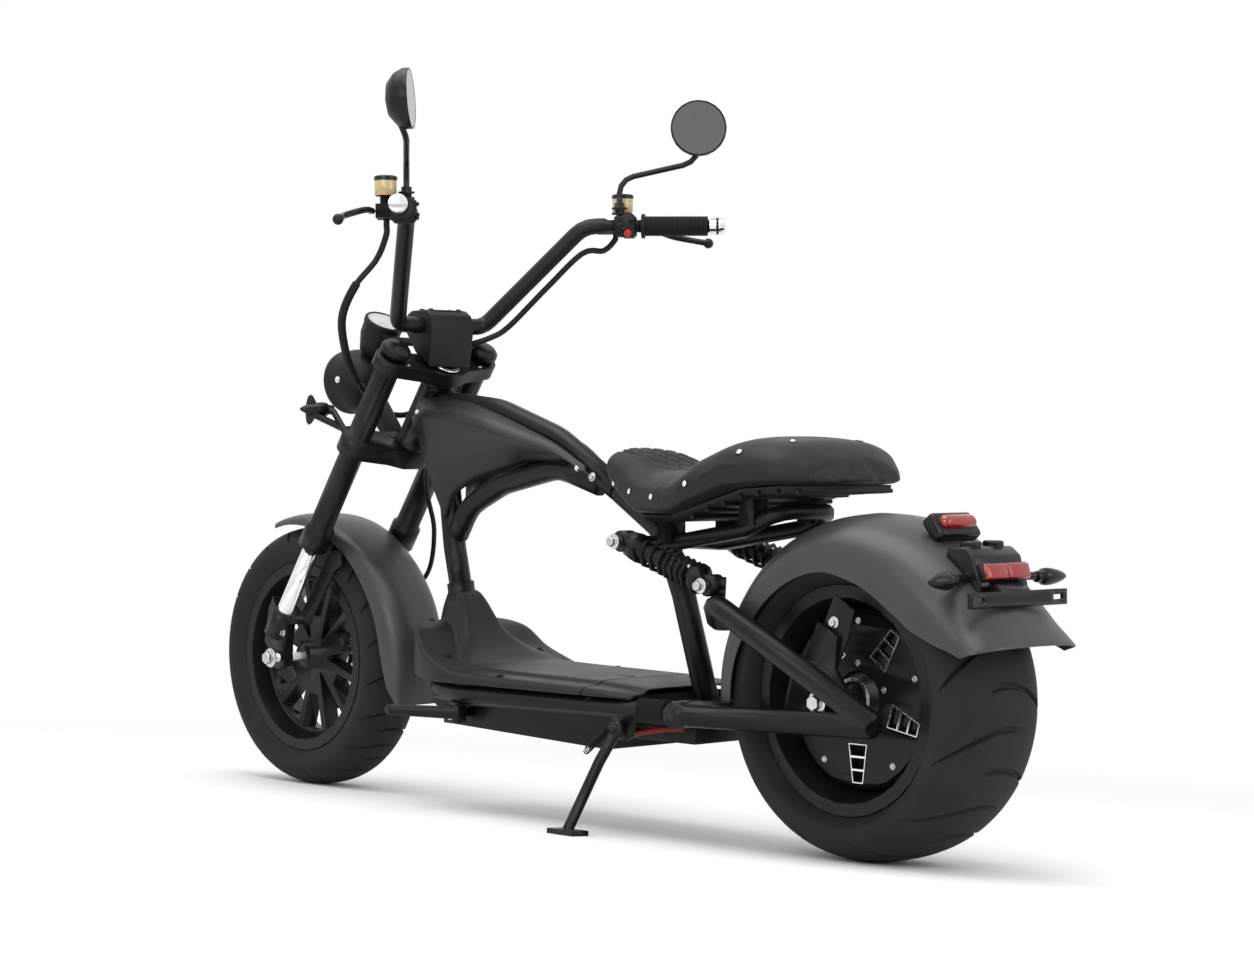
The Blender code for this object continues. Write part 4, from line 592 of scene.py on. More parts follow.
def tread_tyre(node, axle, outer, half, waist, flange_y, pitches, finish, body, sweep, depth):
    """Spins the tyre's section, draws its columns together into narrow grooves, sweeps them
    across the tread and sinks the groove floors."""
    rows = 28
    crown = []
    for i in range(rows + 1):
        t = 2 * i / rows - 1
        turn = abs(t) * math.pi / 2
        crown.append((waist + (outer - waist) * math.cos(turn) ** ROUNDING,
                      math.copysign(half * math.sin(turn) ** ROUNDING, t), t))
    wall = [(waist - (waist - BEAD_RADIUS) * k, half - (half - flange_y + 0.001) * k ** 1.6, 1.0)
            for k in (0.2, 0.4, 0.6, 0.8, 1.0)] + [(LIP_RADIUS, flange_y - 0.006, 1.0)]
    section = [(r, -y, -t) for r, y, t in reversed(wall)] + crown + wall
    bm = bmesh.new()
    share = bm.verts.layers.float.new("across")
    verts = []
    for r, y, t in section:
        verts.append(bm.verts.new((r, y, 0)))
        verts[-1][share] = t
    count = len(TREAD_COLUMNS)
    spin_chain(bm, verts, (0, 1, 0), math.tau, pitches * count)
    for vert in bm.verts:
        t = vert[share]
        reach = abs(t)
        radius = math.hypot(vert.co.x, vert.co.z)
        index = round((math.atan2(-vert.co.z, vert.co.x) % math.tau) / math.tau * pitches * count)
        pitch, column = divmod(index, count)
        held = 1.0 if reach < TREAD_EDGE else max(0.0, 1 - (reach - 0.80) / 0.20)
        drawn = column / count + (TREAD_COLUMNS[column] - column / count) * held
        angle = (pitch + drawn) * math.tau / pitches + sweep * min(reach, TREAD_EDGE) ** 1.5
        if column in LEFT_GROOVE + RIGHT_GROOVE:
            near = t if column in LEFT_GROOVE else -t
            window = max(0.0, min(1.0, (near + 0.22) / 0.14, (0.86 - near) / 0.10))
            radius -= depth * window * (0.6 + 0.4 * reach)
        vert.co = (radius * math.cos(angle), vert.co.y, radius * math.sin(angle))
    bmesh.ops.recalc_face_normals(bm, faces=bm.faces)
    bmesh.ops.translate(bm, vec=axle, verts=bm.verts)
    bm.normal_update()
    out = sum(f.normal.dot(f.calc_center_median() - axle) for f in bm.faces
              if abs(f.calc_center_median().y) < half * 0.3)
    if out < 0:
        bmesh.ops.reverse_faces(bm, faces=bm.faces)
    finish_piece(bm, node + "_tread", finish, body, (node,), crisp=30.0)


def make_tyres():
    tread_tyre("rear_tyre", REAR_AXLE, 0.2364, 0.104, 0.186, 0.0815, 12, "rear_rubber",
               "rear_wheel", 0.34, 0.0090)
    tread_tyre("front_tyre", FRONT_AXLE, 0.2284, 0.058, 0.192, 0.0457, 20, "front_rubber",
               "front_wheel", 0.17, 0.0065)


# Mudguards and covers

SHEET = 0.0025                         # wall of the mudguards and covers

# degrees round the axle from +X, crown radius, edge radius, half width
REAR_GUARD = ((-4, 0.2480, 0.2000, 0.1120), (16, 0.2490, 0.1940, 0.1145),
              (38, 0.2530, 0.1860, 0.1160), (60, 0.2600, 0.1850, 0.1165),
              (82, 0.2660, 0.1850, 0.1165), (104, 0.2690, 0.1780, 0.1165),
              (124, 0.2730, 0.1760, 0.1165), (142, 0.2800, 0.1850, 0.1165),
              (154, 0.2900, 0.2120, 0.1160), (163, 0.3050, 0.2550, 0.1150))
FRONT_GUARD = ((74, 0.2500, 0.2340, 0.0560), (92, 0.2535, 0.2330, 0.0625),
               (112, 0.2600, 0.2330, 0.0630), (130, 0.2670, 0.2340, 0.0630),
               (146, 0.2770, 0.2360, 0.0630), (160, 0.2860, 0.2400, 0.0630),
               (175, 0.2900, 0.2440, 0.0620), (188, 0.2910, 0.2600, 0.0600),
               (194, 0.2920, 0.2800, 0.0520))
# step round the section, share of the half width, share of the drop from crown to edge
GUARD_SECTION = ((0, 0.0, 0.0), (1, 0.34, 0.035), (2, 0.64, 0.14), (3, 0.86, 0.33),
                 (4, 0.97, 0.60), (5, 1.0, 1.0))


def mudguard(node, axle, table, body):
    """Spins a strip over the wheel and shapes it by the table: a full crown, then side walls."""
    across, degrees_a_step, first, last = 36, 1.1, table[0][0], table[-1][0]
    bm = bmesh.new()
    spin_chain(bm, [bm.verts.new((1, 2 * i / across - 1, 0)) for i in range(across + 1)],
               (0, -1, 0), math.radians(last - first), int((last - first) / degrees_a_step),
               merge=False)
    for vert in bm.verts:
        turn = first + math.degrees(math.atan2(vert.co.z, vert.co.x) + 1e-4) % 360
        crown, edge, half = read_table(table, turn)
        wide, drop = read_table(GUARD_SECTION, abs(vert.co.y) * GUARD_SECTION[-1][0])
        radius, angle = crown - (crown - edge) * drop, math.radians(turn)
        vert.co = axle + Vector((radius * math.cos(angle), math.copysign(half * wide, vert.co.y),
                                 radius * math.sin(angle)))
    face_away(bm, axle)
    piece = finish_piece(bm, node + "_skin", "graphite", body, (node,), crisp=60.0)
    add_wall(piece, SHEET)
    lip = piece.modifiers.new("lip", "BEVEL")
    lip.width, lip.segments, lip.limit_method, lip.angle_limit = 0.0008, 2, "ANGLE", 1.0


def make_mudguards():
    mudguard("rear_mudguard", REAR_AXLE, REAR_GUARD, "chassis")
    mudguard("front_mudguard", FRONT_AXLE, FRONT_GUARD, "steering")
    bm = bmesh.new()
    for side in (1, -1):
        prism(bm, [(-0.012, 0.392), (-0.050, 0.370), (-0.038, 0.330), (-0.014, 0.282),
                   (0.036, 0.296), (0.008, 0.350)], side * 0.1102, side * 0.1142, 0.0012, 2)
    finish_piece(bm, "guard_bracket_plates", "satin_black", "chassis")
    bolt_group("guard_bracket_bolts", "alloy", "chassis",
               [((x, side * 0.1142, z), (0, side, 0), 0.0060, 0.0055, True)
                for x, z in ((-0.012, 0.352), (-0.001, 0.330), (0.017, 0.300))
                for side in (1, -1)])


# top edge x, y, z; ridge x, y, z; lower edge x, z
TANK_COVER = ((1.018, 0.0330, 0.686, 1.012, 0.058, 0.652, 0.966, 0.478),
              (0.980, 0.0280, 0.684, 0.965, 0.070, 0.648, 0.940, 0.518),
              (0.920, 0.0225, 0.678, 0.900, 0.073, 0.642, 0.885, 0.544),
              (0.840, 0.0225, 0.660, 0.822, 0.070, 0.630, 0.812, 0.562),
              (0.760, 0.0225, 0.634, 0.745, 0.060, 0.610, 0.738, 0.578),
              (0.685, 0.0225, 0.606, 0.674, 0.044, 0.594, 0.668, 0.578),
              (0.615, 0.0225, 0.566, 0.608, 0.030, 0.560, 0.600, 0.552))


def make_tank_covers():
    """Each cover is a grid drawn onto its three edge lines, bowed out between them."""
    rows = tuple((index, *row) for index, row in enumerate(TANK_COVER))
    low_y = 0.0225
    for side, word in ((1, "left"), (-1, "right")):
        bm = bmesh.new()
        bmesh.ops.create_grid(bm, x_segments=64, y_segments=20, size=0.5)
        for vert in bm.verts:
            top_x, top_y, top_z, ridge_x, ridge_y, ridge_z, low_x, low_z = read_table(
                rows, (vert.co.x + 0.5) * (len(rows) - 1))
            top = Vector((top_x, top_y, top_z))
            ridge = Vector((ridge_x, ridge_y, ridge_z))
            low = Vector((low_x, low_y, low_z))
            v = vert.co.y + 0.5
            if v <= 0.5:
                first, last, t = top, ridge, v * 2
                bow_y, bow_z = ridge_y * 0.76, 0.006
            else:
                first, last, t = ridge, low, v * 2 - 1
                bow_y, bow_z = 0.62 * ridge_y + 0.38 * low_y, 0
            halfway = (first + last) / 2
            halfway.y = bow_y
            halfway.z += bow_z
            pull = 2 * halfway - (first + last) / 2
            place = first * (1 - t) ** 2 + pull * 2 * t * (1 - t) + last * t ** 2
            vert.co = (place.x, side * place.y, place.z)
        face_away(bm, (0.85, 0, 0.6))
        piece = finish_piece(bm, "tank_cover_%s_skin" % word, "cover_grey", "chassis",
                             ("tank_cover_" + word,), crisp=24.0)
        add_wall(piece, SHEET)
    bolt_group("tank_cover_screws", "chrome", "chassis",
               [(*on_surface("tank_cover_" + word, (x, side * 0.06, z)), 0.0042, 0.004, False)
                for x, z in ((0.618, 0.563), (0.995, 0.660))
                for side, word in ((1, "left"), (-1, "right"))])


# x, crown z, shoulder z, half width, half width of the raised tread, lower edge z
DECK_FRONT = ((0.4925, 0.240, 0.2395, 0.144, 0.100, 0.2185),
              (0.800, 0.246, 0.2455, 0.144, 0.100, 0.2185),
              (0.840, 0.262, 0.256, 0.144, 0.092, 0.2185),
              (0.885, 0.300, 0.275, 0.138, 0.060, 0.2200),
              (0.925, 0.358, 0.308, 0.122, 0.034, 0.2230),
              (0.960, 0.365, 0.318, 0.090, 0.026, 0.2300),
              (0.985, 0.330, 0.300, 0.060, 0.020, 0.2450))
DECK_REAR = ((0.392, 0.232, 0.2315, 0.132, 0.096, 0.2185),
             (0.422, 0.236, 0.2355, 0.140, 0.100, 0.2185),
             (0.4917, 0.240, 0.2395, 0.144, 0.100, 0.2185))


def deck_strip(bm, rows, count):
    """The deck's section at each x: raised tread, step, ledge and side wall."""
    across = 28
    bmesh.ops.create_grid(bm, x_segments=count, y_segments=across, size=0.5)
    for vert in bm.verts:
        x = rows[0][0] + (rows[-1][0] - rows[0][0]) * (vert.co.x + 0.5)
        crown, shoulder, half, tread, edge = read_table(rows, x)
        step = shoulder - 0.008
        outline = ((0, 0.0, crown), (4, tread * 0.6, crown), (6, tread, shoulder),
                   (7, tread + 0.004, step + 0.001), (9, half - 0.012, step + 0.0005),
                   (10, half - 0.005, step - 0.002), (11, half - 0.001, step - 0.006),
                   (12, half, (step + edge) / 2), (14, half, edge))
        place = abs(vert.co.y) * across
        a, b = next(pair for pair in zip(outline, outline[1:]) if place <= pair[1][0] + 1e-6)
        part = (place - a[0]) / (b[0] - a[0])
        vert.co = (x, math.copysign(a[1] + (b[1] - a[1]) * part, vert.co.y),
                   a[2] + (b[2] - a[2]) * part)


def make_deck():
    """The foot deck's hood and tread, and its lift-off rear lid with a finger slot."""
    for node, rows, count in (("deck_front", DECK_FRONT, 72), ("deck_rear", DECK_REAR, 14)):
        bm = bmesh.new()
        deck_strip(bm, rows, count)
        face_away(bm, (0.6, 0, 0))
        piece = finish_piece(bm, node + "_skin", "deck_plastic", "chassis", (node,), crisp=50.0)
        add_wall(piece, 0.003)
        soft = piece.modifiers.new("soft", "SUBSURF")
        soft.levels = soft.render_levels = 1
    bm = bmesh.new()
    block(bm, (0.030, 0.011, 0.0012), Matrix.Translation((0.520, 0.020, 0.2405)), 0.0005, 1)
    for side in (1, -1):
        for near in ((0.955, side * 0.058, 0.318), (0.862, side * 0.100, 0.262),
                     (0.700, side * 0.128, 0.238)):
            spot, out = on_surface("deck_front", near)
            bolt_head(bm, spot, out, 0.0045, 0.003, False)
    finish_piece(bm, "deck_slot_and_clips", "black_plastic", "chassis")


# Head

def make_headlight():
    """A round lamp bowl with its rim, reflector and lens, on the bracket from the clamp."""
    forward = Vector((math.cos(math.radians(6)), 0, -math.sin(math.radians(6))))
    place = facing((1.222, 0, 0.717), forward)
    radius = 0.055
    bm = bmesh.new()
    turned_shape(bm, [(radius - 0.003, 0.018), (radius - 0.003, 0.037), (radius, 0.038),
                      (radius + 0.001, 0.034), (radius + 0.001, 0.028), (radius, 0.026),
                      (radius, 0.006), (radius * 0.97, -0.010), (radius * 0.86, -0.026),
                      (radius * 0.66, -0.040), (radius * 0.38, -0.050), (0, -0.054),
                      (0, -0.050), (radius * 0.36, -0.046), (radius * 0.8, -0.020),
                      (radius - 0.004, 0.012)], place, 56)
    prism(bm, [(1.1189, 0.6228), (1.1325, 0.6030), (1.196, 0.672), (1.188, 0.706)], -0.015, 0.015,
          0.0015)
    finish_piece(bm, "headlight_shell", "black_plastic", "steering", ("headlight",))
    turned_piece("headlight_reflector", "chrome",
                 [(radius - 0.0045, 0.030), (radius * 0.7, 0.004), (radius * 0.3, -0.012),
                  (0, -0.014)], place, 48)
    turned_piece("headlight_lens", "clear_lens",
                 [(0, 0.0405), (radius * 0.5, 0.0395), (radius - 0.0032, 0.036),
                  (radius - 0.0032, 0.033), (radius * 0.5, 0.0365), (0, 0.0375)], place, 48)
    bolt_group("headlight_screws", "chrome", "steering",
               [(place @ Vector((side * 0.0548, 0, -0.002)), (-0.1, side, 0), 0.0040, 0.003, False)
                for side in (1, -1)])


def make_gauge():
    """The speedometer's rim, dial, needle and glass on its pod."""
    place = facing((1.168, 0, 0.800), (-0.50, 0, 0.866))
    turned_piece("gauge_rim", "black_plastic",
                 [(0.0300, 0.0183), (0.0300, 0.0215), (0.0330, 0.0225), (0.0352, 0.0200),
                  (0.0352, 0.0130), (0.0340, 0.0120), (0.0340, 0.0183)], place, 48)
    turned_piece("gauge_dial", "dial_white",
                 [(0, 0.0190), (0.0300, 0.0190), (0.0300, 0.0183), (0, 0.0183)], place, 48)
    bm = bmesh.new()
    for tick in range(11):
        turn = Matrix.Rotation(math.radians(-120 + tick * 24), 4, "Z")
        block(bm, (0.0010, 0.0045, 0.0004), place @ turn @ Matrix.Translation((0, 0.0255, 0.0193)),
              0.0001, 1)
    block(bm, (0.0012, 0.0200, 0.0006), place @ Matrix.Rotation(math.radians(118), 4, "Z")
          @ Matrix.Translation((0, 0.0090, 0.0196)), 0.0002, 1)
    finish_piece(bm, "gauge_marks", "black_plastic", "steering")
    turned_piece("gauge_glass", "clear_lens",
                 [(0, 0.0222), (0.0298, 0.0212), (0.0298, 0.0206), (0, 0.0214)], place, 48)


def make_riser():
    """The handlebar clamp on the upper yoke: a stepped casting with its four cap bolts."""
    bm = bmesh.new()
    prism(bm, [(0.9790, 0.7330), (1.0200, 0.7600), (1.0490, 0.8000), (1.0450, 0.8230),
               (1.0300, 0.8310), (0.9900, 0.8320), (0.9740, 0.8220), (0.9700, 0.7900)],
          -0.045, 0.045, 0.005, 3)
    prism(bm, [(0.9850, 0.8300), (1.0260, 0.8300), (1.0220, 0.8318), (0.9880, 0.8318)],
          -0.030, 0.030, 0.0005, 1)
    for side in (1, -1):
        block(bm, (0.040, 0.014, 0.010), Matrix.Translation((1.006, side * 0.030, 0.8265)),
              0.003, 2)
    finish_piece(bm, "riser_casting", "black_plastic", "steering", ("riser",))
    bolt_group("riser_bolts", "black_alloy", "steering",
               [((x, side * 0.030, 0.8310), (0, 0, 1), 0.0042, 0.003, False)
                for x in (0.994, 1.018) for side in (1, -1)])
    turned_piece("steering_head_ring", "alloy",
                 [(0.0185, 0.0), (0.0245, 0.0), (0.0255, 0.0015), (0.0245, 0.0030),
                  (0.0185, 0.0030)], facing(on_leg(0.0155, 0.0, -0.0250), FORK_UP), 40)


LEAF = ((0.0, 0.0560), (0.0030, 0.0535), (0.0068, 0.0460), (0.0100, 0.0350), (0.0120, 0.0240),
        (0.0128, 0.0150), (0.0118, 0.0070), (0.0085, 0.0025), (0.0, 0.0))


def make_indicators():
    """Leaf-shaped turn signals at the fork's lower clamp, on short stalks."""
    for side, word in ((1, "left"), (-1, "right")):
        bm = bmesh.new()
        place = facing((1.178, side * 0.104, 0.664), (0.22, side, 0.02))
        turned_shape(bm, LEAF, place, 28)
        root = on_leg(0.195, side * 0.106, -0.006)
        tube_along(bm, [root, Vector((1.1660, side * 0.104, 0.660)),
                        Vector((1.1800, side * 0.112, 0.664))], 0.0060, 12)
        turned_shape(bm, [(0, 0.004), (0.0080, 0.004), (0.0085, 0.0), (0.0080, -0.006),
                          (0, -0.006)], place, 20)
        finish_piece(bm, "front_indicator_" + word, "gloss_black", "steering")


# Controls

def make_controls():
    """Fluid windows and caps, grips with their ribs, bar-end caps, buttons and mirror glass."""
    fluid, caps, grips, ends, ring, keys = (bmesh.new() for _ in range(6))
    for side, word in ((1, "left"), (-1, "right")):
        out = bar_out(side)
        pot = facing(on_bar(side, 0.150) + bar_fore(side) * 0.030, (0, 0, 1))
        turned_shape(fluid, [(0.0, 0.0495), (0.0172, 0.0495), (0.0178, 0.0480), (0.0178, 0.0270),
                             (0.0166, 0.0250), (0.0, 0.0250)], pot, 36)
        turned_shape(caps, [(0.0, 0.0568), (0.0150, 0.0568), (0.0186, 0.0550), (0.0190, 0.0500),
                            (0.0184, 0.0492), (0.0, 0.0492)], pot, 36)
        profile = [(0.0, 0.0)]
        for step in range(48):
            height = -0.0016 - step * 0.0022
            profile += [(0.0170, height), (0.0170, height - 0.0011),
                        (0.0161, height - 0.0013), (0.0161, height - 0.0020)]
        profile += [(0.0205, -0.1085), (0.0210, -0.1110), (0.0205, -0.1140), (0.0, -0.1140)]
        turned_shape(grips, profile, facing(on_bar(side, 0.001), out), 32)
        turned_shape(ends, [(0.0, 0.0282), (0.0100, 0.0282), (0.0138, 0.0268), (0.0148, 0.0230),
                            (0.0148, 0.0170), (0.0128, 0.0162), (0.0128, 0.0132),
                            (0.0148, 0.0124), (0.0148, 0.0015), (0.0, 0.0015)],
                     facing(on_bar(side, 0.0), out), 40)
        mirror = facing((0.697, side * 0.311, 1.140),
                        Vector((-0.73, side * -0.68, 0.06)).normalized())
        turned_shape(ring, [(0.0443, -0.0008), (0.0452, 0.0), (0.0466, 0.0), (0.0473, -0.0010),
                            (0.0474, -0.0050), (0.0443, -0.0050)], mirror, 64)
        turned_piece("mirror_glass_" + word, "mirror_glass",
                     [(0.0, -0.0003), (0.0444, -0.0003), (0.0444, -0.0014), (0.0, -0.0014)],
                     mirror, 64)
    finish_piece(fluid, "brake_fluid_windows", "amber_fluid", "steering")
    finish_piece(caps, "brake_fluid_caps", "gloss_black", "steering")
    finish_piece(grips, "ribbed_grips", "grip_rubber", "steering", ("grip_left", "grip_right"))
    finish_piece(ends, "bar_end_caps", "chrome", "steering")
    finish_piece(ring, "mirror_rims", "gloss_black", "steering")
    fore = bar_fore(-1)
    turned_piece("stop_button", "signal_red",
                 [(0, 0.0085), (0.0050, 0.0085), (0.0062, 0.0070), (0.0062, 0), (0, 0)],
                 facing(on_bar(-1, 0.137) - fore * 0.018 - Vector((0, 0, 0.012)),
                        -fore - Vector((0, 0, 0.4))), 24)
    for side in (1, -1):
        fore = bar_fore(side)
        for inward, drop in ((0.130, 0.010), (0.143, -0.006), (0.130, -0.012)):
            spot = on_bar(side, inward) - fore * 0.021 + Vector((0, 0, drop))
            block(keys, (0.009, 0.006, 0.007), facing(spot, -fore), 0.0015, 2)
        bolt_head(keys, on_bar(side, 0.150) - fore * 0.018, -fore, 0.0035, 0.003, False)
        for lift in (0.021, 0.030):
            block(keys, (0.0195, 0.0195, 0.004), Matrix.Translation(
                on_bar(side, 0.150) + Vector((0, -side * 0.004, lift))), 0.0015, 2)
    finish_piece(keys, "switch_keys", "gloss_black", "steering")


HOSE_LEFT = ((0.8365, 0.2494, 0.966), (0.8370, 0.2490, 0.956), (0.846, 0.243, 0.938),
             (0.880, 0.236, 0.902), (0.955, 0.222, 0.862), (1.030, 0.190, 0.815),
             (1.080, 0.145, 0.762), (1.108, 0.105, 0.722), (1.130, 0.062, 0.690),
             (1.152, 0.040, 0.668), (1.165, 0.030, 0.656), (1.165, 0.0140, 0.656))
HOSE_RIGHT = ((0.8365, -0.2494, 0.966), (0.8370, -0.2490, 0.956), (0.848, -0.232, 0.936),
              (0.862, -0.195, 0.930), (0.915, -0.158, 0.870), (0.968, -0.120, 0.806),
              (0.982, -0.088, 0.786), (1.004, -0.060, 0.775), (1.020, -0.057, 0.776),
              (1.049, -0.054, 0.763), (1.079, -0.053, 0.720), (1.124, -0.045, 0.668),
              (1.148, -0.038, 0.656), (1.165, -0.030, 0.656), (1.165, -0.0140, 0.656))


def make_hoses():
    """The brake hoses under the bar, the left one in a ribbed wrap over its lower run."""
    for word, points, wrapped in (("left", HOSE_LEFT, True), ("right", HOSE_RIGHT, False)):
        path = smooth_path(points, 0.0022 if wrapped else 0.008)
        radii = None
        if wrapped:
            middle = range(int(len(path) * 0.30), int(len(path) * 0.80))
            radii = [0.0072 - 0.0011 * (index % 2) if index in middle else 0.0050
                     for index in range(len(path))]
        tube_piece("brake_hose_" + word, "black_plastic", "steering", path, 0.0050, crisp=25.0,
                   radii=radii)
    path = smooth_path([(1.1049, -0.060, 0.5775), (1.120, -0.062, 0.556), (1.136, -0.078, 0.515),
                        (1.150, -0.104, 0.455), (1.185, -0.122, 0.385), (1.235, -0.126, 0.350),
                        (1.300, -0.124, 0.350), (1.335, -0.112, 0.372), (1.365, -0.075, 0.368),
                        (1.372, -0.058, 0.352), (1.372, -0.056, 0.334)], 0.010)
    tube_piece("caliper_hose", "black_plastic", "steering", path, 0.0042)
    tilt = Matrix.Rotation(math.radians(-30), 4, "Y")
    bm = bmesh.new()
    block(bm, (0.048, 0.014, 0.042), Matrix.Translation((1.368, -0.0550, 0.318)) @ tilt, 0.005)
    block(bm, (0.042, 0.010, 0.036), Matrix.Translation((1.368, -0.0330, 0.318)) @ tilt, 0.004)
    finish_piece(bm, "front_caliper", "black_alloy", "steering")


# Wheels

WINDOW_NEAR, WINDOW_FAR = (0.0640, 0.0178), (0.1210, 0.0102)   # radius and half width


def outline_windows(bm, face):
    """Bright ladders of three cells round the five windows of the motor cover's face."""
    for index in range(5):
        before = set(bm.verts)
        rows = []
        for cell in range(4):
            radius, half = (a + (b - a) * cell / 3 for a, b in zip(WINDOW_NEAR, WINDOW_FAR))
            rows.append([bm.verts.new((x, 0, -radius)) for x in (-half, half)])
        cells = [bm.faces.new((a[0], a[1], b[1], b[0])) for a, b in zip(rows, rows[1:])]
        bm.normal_update()
        bmesh.ops.inset_individual(bm, faces=cells, thickness=0.0022)
        bmesh.ops.delete(bm, geom=cells, context="FACES_ONLY")
        raise_faces(bm, faces_of(new_since(bm, before)), 0.0010)
        place = (Matrix.Translation(REAR_AXLE + Vector((0, face + 0.0002, 0)))
                 @ Matrix.Rotation(math.tau * index / 5, 4, "Y"))
        bmesh.ops.transform(bm, matrix=place, verts=new_since(bm, before))
    bmesh.ops.recalc_face_normals(bm, faces=bm.faces)


def drilled_disc(name, node, body, axle, side, outer, inner):
    """A brake disc: its ventilated ring, with two rows of slots, on the arms of its carrier."""
    count, arm = 96, 16
    ring = outer - inner
    radii = (inner * 0.42, inner * 0.56, inner * 0.80, inner, inner + ring * 0.28,
             inner + ring * 0.42, inner + ring * 0.62, inner + ring * 0.76, outer)
    carrier, inner_slots, outer_slots = (1, 2), 4, 6
    bm = bmesh.new()
    spin_chain(bm, [bm.verts.new((r, side, 0)) for r in radii], (0, 1, 0), math.tau, count)
    gone = []
    for f in bm.faces:
        middle = f.calc_center_median()
        radius = math.hypot(middle.x, middle.z)
        slot = int((math.atan2(middle.z, middle.x) % math.tau) / math.tau * count)
        row = sum(radius > r for r in radii) - 1
        if (row == inner_slots and slot % 8 == 0) or (row == outer_slots and slot % 8 == 4) or (
                row in carrier and slot % arm > 4):
            gone.append(f)
    bmesh.ops.delete(bm, geom=gone, context="FACES")
    bmesh.ops.recalc_face_normals(bm, faces=bm.faces)
    face_away(bm, (0, 0.5, 0))
    bmesh.ops.translate(bm, vec=axle, verts=bm.verts)
    add_wall(finish_piece(bm, name, "alloy", body, (node,)), 0.0038)


def make_wheel_details():
    """The motor cover's outlines and screws, a painted highlight ring on the hub, the brake discs and the nuts."""
    face, hub = (max((LEVEL @ v.co).y for v in frame["nodes"][node].data.vertices)
                 for node in ("motor_cover", "hub_motor"))
    bm = bmesh.new()
    outline_windows(bm, face)
    # The bright silver ring about the hub's boss is a painted highlight, standing where the boss's rounded edge
    # catches the light.
    turned_shape(bm, [(0.0265, 0.0002), (0.0325, 0.0002), (0.0318, 0.0014), (0.0272, 0.0014)],
                 facing(REAR_AXLE + Vector((0, hub + 0.0016, 0)), (0, 1, 0)), 56)
    finish_piece(bm, "cover_outlines_and_painted_highlight_ring", "silver_and_painted_highlight", "rear_wheel")
    bolt_group("cover_screws", "alloy", "rear_wheel",
               [(Matrix.Translation(REAR_AXLE)
                 @ Matrix.Rotation(math.tau * (index + 0.5) / 5, 4, "Y")
                 @ Vector((0, face, -radius)), (0, 1, 0), 0.0034, 0.0026, False)
                for index in range(5) for radius in (0.1130, 0.0520)])
    drilled_disc("rear_disc_drilled", "rear_brake_disc", "rear_wheel", REAR_AXLE, -0.0603,
                 0.0880, 0.0600)
    drilled_disc("front_disc_drilled", "front_brake_disc", "front_wheel", FRONT_AXLE, -0.0403,
                 0.0980, 0.0700)
    for name, axle, body, reach in (("front_axle_nuts", FRONT_AXLE, "steering", 0.1120),
                                    ("rear_axle_nuts", REAR_AXLE, "chassis", 0.1360)):
        bolt_group(name, "alloy", body,
                   [(axle + Vector((0, s * reach, 0)), (0, s, 0), 0.0115, 0.010, True)
                    for s in (1, -1)])
    bolt_group("fork_foot_bolts", "alloy", "steering",
               [(on_leg(d, s * 0.0972, f), (0, s, 0), 0.0052, 0.005, True)
                for d, f in ((0.585, -0.018), (0.604, 0.012)) for s in (1, -1)])


# Tail

